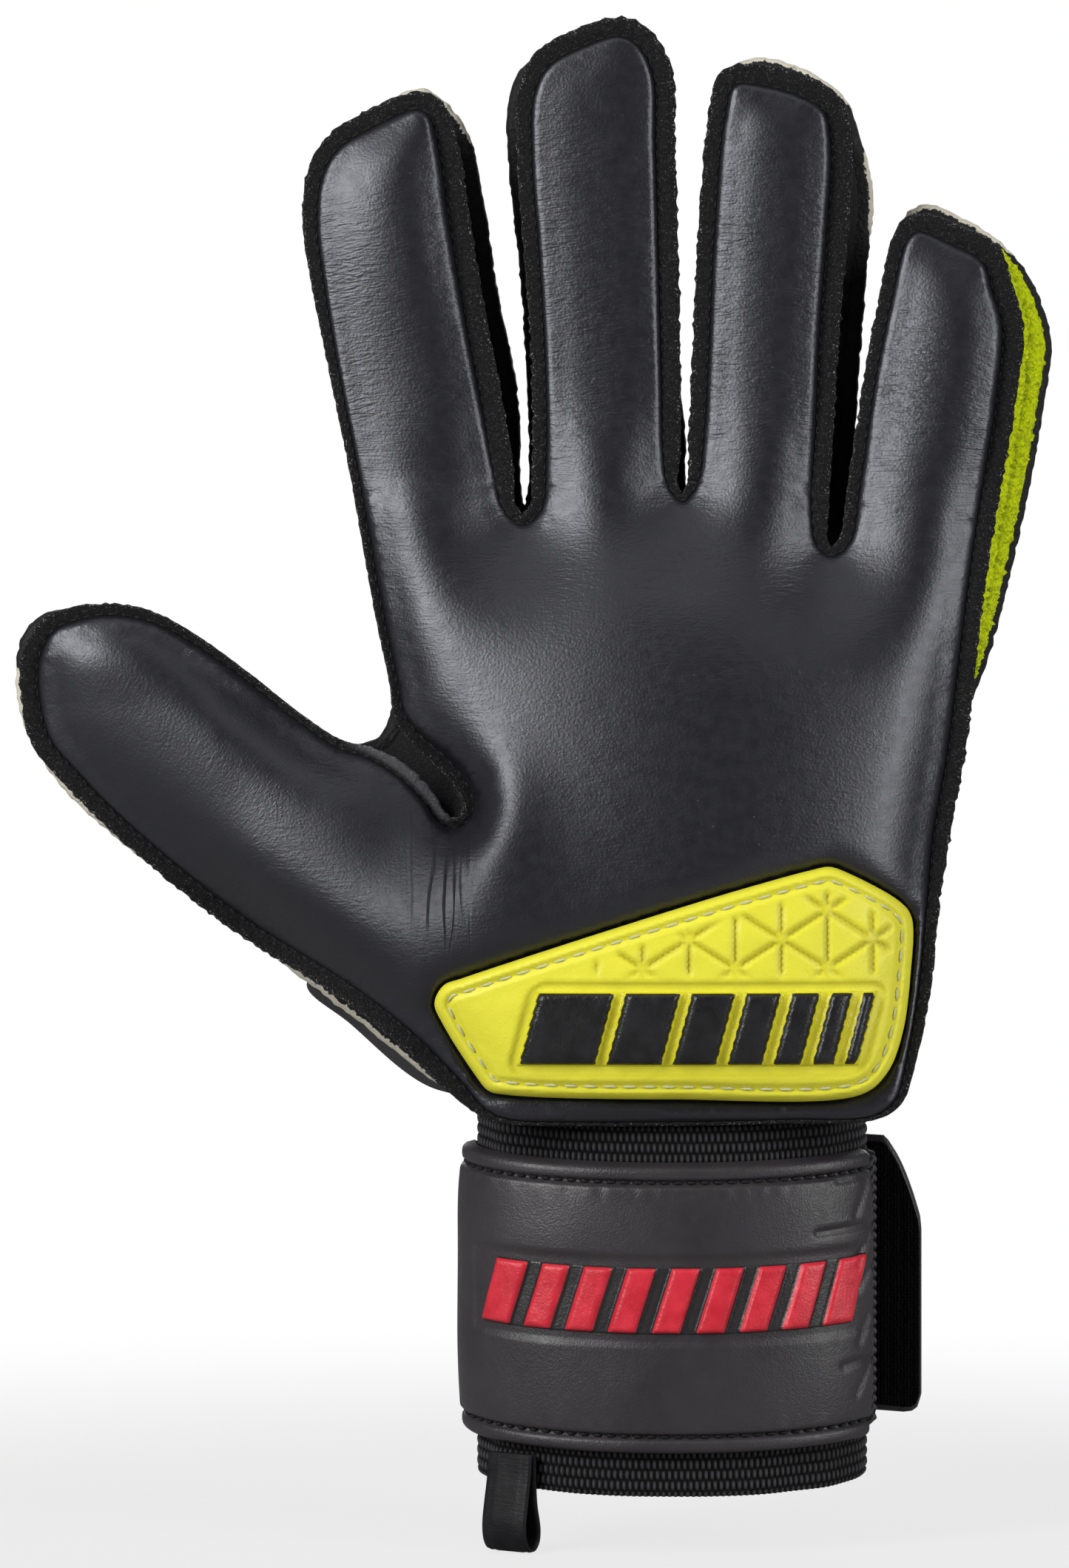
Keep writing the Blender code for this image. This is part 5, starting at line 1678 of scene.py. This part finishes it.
# The two patches of the fastening, which lie round the wrist.
PATCH_THICK = 0.9


def patch(name, turns, span, under, material, body):
    """A thin patch between two turns and two heights; under is how far off the cuff it lies in x and in y."""
    turn, way = even_turns(*turns, 1.0)
    rows = np.linspace(*span, 44)
    edge = np.minimum(np.minimum(rows - span[0], span[1] - rows), np.minimum(way, way[-1] - way)[:, None])
    rise = PATCH_THICK * (0.3 + 0.7 * roll(edge, 0.9))
    outer = at_wrist(turn[:, None], under[0] + rise, rows, under[1] + rise)
    inner = at_wrist(turn[:, None], under[0], rows[[-1, 0]], under[1])
    looks = {"raw": np.full(len(turn) * (len(rows) + 2), 0.05)}
    thing = wrapped(f"{name}_pile", outer, inner, material, "black_fleece", body, [name], **looks)


patch("loop_patch", (125.0, 55.0), (17.0, 58.0), (0.3, 0.3), FLEECE, "hand")
patch("hook_patch", (116.0, 64.0), (18.0, 57.0), (-0.8, 1.5), HOOK, "strap_flap")

# The free run of the strap: round the palm side, then straight off past the other edge.
FLAP_TURN = (176.2, 62.0)
FLAP_UNDER = 2.7
FLAP_REACH = 43.9
FLAP_HIGH = STRAP_HIGH - 1.4
FLAP_STEP = 0.75
FLAP_EDGE = 0.9
FLAP_RISE = 1.45
FLAP_PUFF = 0.6
FLAP_GROOVE = 0.7
# How its upper and its lower edge are cut back towards the tip: share of the straight stretch, and how far.
UPPER_CUT = ((0.0, 0.78, 0.86, 0.9, 0.94, 0.97, 0.99, 1.0), (0.0, 0.0, 3.6, 6.2, 9.2, 12.0, 14.0, 16.5))
LOWER_CUT = ((0.0, 0.9, 0.95, 0.98, 1.0), (0.0, 0.0, 0.3, 1.0, 3.0))
# The share of the straight stretch up to which it is stitched.
FLAP_SEWN = 0.76


def peel(thing):
    """Bakes the transform of a piece of the flap into its points."""
    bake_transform(thing)


path = at_wrist(np.linspace(*FLAP_TURN, 400), CLEAR, 0.0, FLAP_UNDER)[:, :2]
onward = unit(path[-1] - path[-2])
straight = (FLAP_REACH - path[-1, 0]) / onward[0]
path = np.vstack([path, path[-1] + onward * np.linspace(0.02, 1.0, 60)[:, None] * straight])
travel = travelled(path)
way = np.linspace(0.0, travel[-1], int(travel[-1] / FLAP_STEP))
way = np.unique(np.concatenate([way, travel[-1] - np.array([0.1, 0.3, 0.6, 1.0])]))
middle = along_path(way, travel, path)
ahead = unit(np.gradient(middle, way, axis=0))
aside = np.stack([-ahead[:, 1], ahead[:, 0]], axis=1)
if aside[5] @ (middle[5] - (WRIST_X, 0.0)) < 0:
    aside = -aside
to_tip = 1.0 + (way - travel[-1]) / straight
high = FLAP_HIGH - np.interp(to_tip, *UPPER_CUT)
low = STRAP_LOW + np.interp(to_tip, *LOWER_CUT)
share = np.concatenate([np.linspace(0.0, 0.12, 12), np.linspace(0.14, 0.86, 44), np.linspace(0.88, 1.0, 12)])
rows = low[:, None] + (high - low)[:, None] * share
edge = np.minimum(rows - low[:, None], high[:, None] - rows)
edge = np.minimum(edge, (travel[-1] - way)[:, None] + 0.2)
body = roll(np.maximum(edge - STRAP_SEWN, 0.0), STRAP_ROLL)
thick = FLAP_EDGE + FLAP_RISE * roll(edge, HEM_ROUND) + FLAP_PUFF * body
thick += 0.07 * puckered(way, edge, 31) - FLAP_GROOVE * dent(edge - STRAP_SEWN, GROOVE_HALF)


def off_flap(out):
    """Points over the flap's rows, ways out from its middle line."""
    spots = middle[:, None, :] + aside[:, None, :] * out[..., None]
    return np.concatenate([spots, (rows + WRIST_TILT * spots[..., 1])[..., None]], axis=2)


outer = off_flap(thick)
inner = off_flap(0.45 * (1.0 - roll(edge, 1.2)))[:, ::-1]
flap = wrapped("strap_flap_skin", outer, inner, [STRAP, HOOK], "strap_leather", None, ["strap_flap"])
# The inner face has the look of hooks, up to a margin.
ring = 2 * len(share)
column = np.arange(ring * (len(way) - 1)) % ring
kind = np.zeros(len(flap.data.polygons), np.int32)
kind[: len(column)] = (column > len(share) + 1) & (column < ring - 3)
flap.data.polygons.foreach_set("material_index", kind)
peel(flap)
column = np.arange(2, np.searchsorted(to_tip, FLAP_SEWN))
facing = np.column_stack([aside[column], np.zeros(len(column))])
for name, z in (("lower", low + STRAP_SEWN), ("upper", high - STRAP_SEWN)):
    path = np.array([along_path([z[k]], rows[k], outer[k])[0] for k in column])
    made, quads = stitches(path, facing, *STRAP_STITCH)
    thing = piece(f"flap_{name}_thread", made, quads.tolist(), BLACK_THREAD, "strap_leather")
    peel(thing)

# The pull loop: a doubled tape hanging from the cuff's hem.
PULL_TURN = 216.7
PULL_WIDTH = 9.0
PULL_THICK = 1.0
# Its course: out from the cuff, and up.
PULL_PATH = np.array([
    (0.9, 9.0), (0.9, 4.0), (0.6, 0.0), (-0.6, -4.0), (-0.4, -6.4), (1.0, -7.9), (2.9, -7.6), (4.0, -5.8),
    (4.2, -3.0), (3.4, 1.0), (2.5, 5.0), (2.1, 9.0),
])

hung_at = at_wrist(PULL_TURN, 0.0, 0.0)[:2]
facing = off_wrist(PULL_TURN)
beside = np.array([-facing[1], facing[0]])
corner = np.arange(len(PULL_PATH))
path = along_path(np.linspace(0.0, corner[-1], 90), corner, PULL_PATH)
for _ in range(12):
    path[1:-1] = (path[:-2] + 2 * path[1:-1] + path[2:]) / 4
ahead = unit(np.gradient(path, axis=0))
square = np.stack([-ahead[:, 1], ahead[:, 0]], axis=1)
travel = travelled(path)
width = np.linspace(-1.0, 1.0, 15)
rings = []
lies = []
for share, side in [(share, 1.0) for share in width] + [(share, -1.0) for share in width[::-1]]:
    puff = PULL_THICK / 2 * np.sqrt(1.0 - 0.75 * abs(share) ** 8) - 0.12 * dent(abs(share) - 0.72, 0.16)
    spots = path + square * (side * puff)
    across = share * PULL_WIDTH / 2
    rings.append(np.column_stack([hung_at + facing * spots[:, :1] + beside * across, spots[:, 1]]))
    lies.append(np.column_stack([np.full(len(path), across), travel, np.zeros(len(path))]))
points, quads, sides = tube(np.stack(rings, axis=1))
looks = {"lie": np.stack(lies, axis=1).reshape(-1, 3)}
normals = normals_of(points, quads)
piece("pull_loop_tape", points, sides, TAPE, "black_knit", "pull_loop", ["pull_loop"], normals, **looks)

# The floor: near the object pale paper that takes its shadow, further off fading into the white around it.
PAPER = ((0.34, 0.34, 0.34), (0.38, 0.38, 0.38))
FLOOR_RINGS = (0.15, 0.5, 1.2, 3.0)
FLOOR_SIDES = 96
FADE_FROM = 0.12
FADE_TO = 0.42
FADE_LEAST = 0.76


def floor_paint():
    paper = bpy.data.materials.new("paper")
    paper.use_nodes = True
    n = Nodes(paper.node_tree)
    n.tree.nodes.clear()
    grain = n.node("TexNoise", {"Scale": 40.0}).outputs["Fac"]
    matt = n.node("BsdfDiffuse", {"Color": n.mix(grain, *PAPER)})
    glow = n.node("Emission", {"Strength": 1.0})
    place = n.node("NewGeometry", {}).outputs["Position"]
    away = n.node("VectorMath", {0: place}, operation="LENGTH").outputs["Value"]
    reach = {"Value": away, "From Min": FADE_FROM, "From Max": FADE_TO, "To Min": FADE_LEAST}
    fade = n.node("MapRange", reach, interpolation_type="SMOOTHSTEP").outputs["Result"]
    seen = n.node("LightPath", {}).outputs["Is Camera Ray"]
    share = n.node("Math", {0: seen, 1: fade}, operation="MULTIPLY").outputs[0]
    both = n.node("MixShader", {0: share, 1: matt.outputs[0], 2: glow.outputs[0]})
    n.node("OutputMaterial", {"Surface": both.outputs[0]})
    return paper


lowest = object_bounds()[0].z - 0.2 * MM
turn = np.linspace(0.0, 2 * math.pi, FLOOR_SIDES, endpoint=False)
points = [(r * math.cos(t), r * math.sin(t), lowest) for r in FLOOR_RINGS for t in turn]
points.append((0.0, 0.0, lowest))
number = np.arange(len(FLOOR_RINGS) * FLOOR_SIDES).reshape(-1, FLOOR_SIDES)
beside = np.roll(number, -1, axis=1)
sides = [(a, b, len(points) - 1) for a, b in zip(number[0].tolist(), beside[0].tolist())]
sides += np.stack([number[:-1], number[1:], beside[1:], beside[:-1]], axis=2).reshape(-1, 4).tolist()
disc = bpy.data.meshes.new("floor")
disc.from_pydata(points, [], sides)
disc.materials.append(floor_paint())
floor = bpy.data.objects.new("floor", disc)
bpy.context.scene.collection.objects.link(floor)

# The room: white to the camera, and dim to the object, darkest in front of it.
ROOM_TINT = (0.95, 0.97, 1.0, 1.0)
ROOM_FRONT = 0.03
ROOM_BACK = 0.14
FRONT_AT = -0.75
BACK_AT = 0.6


def room():
    world = bpy.data.worlds.new("studio")
    world.use_nodes = True
    n = Nodes(world.node_tree)
    n.tree.nodes.clear()
    way = n.node("TexCoord", {}).outputs["Generated"]
    y = n.node("SeparateXYZ", {0: way}).outputs["Y"]
    reach = {"Value": y, "From Min": FRONT_AT, "From Max": BACK_AT, "To Min": ROOM_FRONT, "To Max": ROOM_BACK}
    light = n.node("MapRange", reach, interpolation_type="SMOOTHSTEP").outputs["Result"]
    dim = n.node("Background", {"Color": ROOM_TINT, "Strength": light})
    white = n.node("Background", {"Color": (1.0, 1.0, 1.0, 1.0), "Strength": 1.0})
    seen = n.node("LightPath", {}).outputs["Is Camera Ray"]
    both = n.node("MixShader", {0: seen, 1: dim.outputs[0], 2: white.outputs[0]})
    n.node("OutputWorld", {"Surface": both.outputs[0]})
    return world


bpy.context.scene.world = room()

# The lamps, in metres and watts.
AIM = (-0.025, 0.0, 0.13)


def softbox(name, place, size, power):
    lamp = bpy.data.lights.new(name, "AREA")
    lamp.shape = "RECTANGLE"
    lamp.size, lamp.size_y = size
    lamp.energy = power
    thing = bpy.data.objects.new(name, lamp)
    thing.location = place
    thing.rotation_euler = (Vector(AIM) - Vector(place)).to_track_quat("-Z", "Y").to_euler()
    bpy.context.scene.collection.objects.link(thing)


softbox("left_box", (-0.82, -0.80, 0.62), (0.5, 0.74), 13.4)
softbox("right_box", (0.95, -0.58, 0.42), (0.36, 0.9), 7.2)
softbox("top_box", (-0.02, -0.45, 1.15), (1.0, 0.5), 1.5)
softbox("back_box", (0.1, 1.1, 0.6), (1.0, 0.8), 7.0)

# The camera stands square to the back of the hand and frames what the photograph shows.
CAMERA_X = -25.41
CAMERA_Z = 127.05
CAMERA_AWAY = 1000.0
PHOTO_PIXELS = 2119
PIXEL_SIZE = 0.132
PHOTO_TALL = PHOTO_PIXELS * PIXEL_SIZE

lens = bpy.data.cameras.new("camera")
lens.sensor_width = 36.0
lens.sensor_fit = "AUTO"
lens.lens = lens.sensor_width * CAMERA_AWAY / PHOTO_TALL
camera = bpy.data.objects.new("camera", lens)
camera.location = (CAMERA_X * MM, -CAMERA_AWAY * MM, CAMERA_Z * MM)
camera.rotation_euler = (math.pi / 2, 0.0, 0.0)
bpy.context.scene.collection.objects.link(camera)
bpy.context.scene.camera = camera
bpy.context.scene.view_settings.view_transform = "Standard"

bpy.context.view_layer.update()
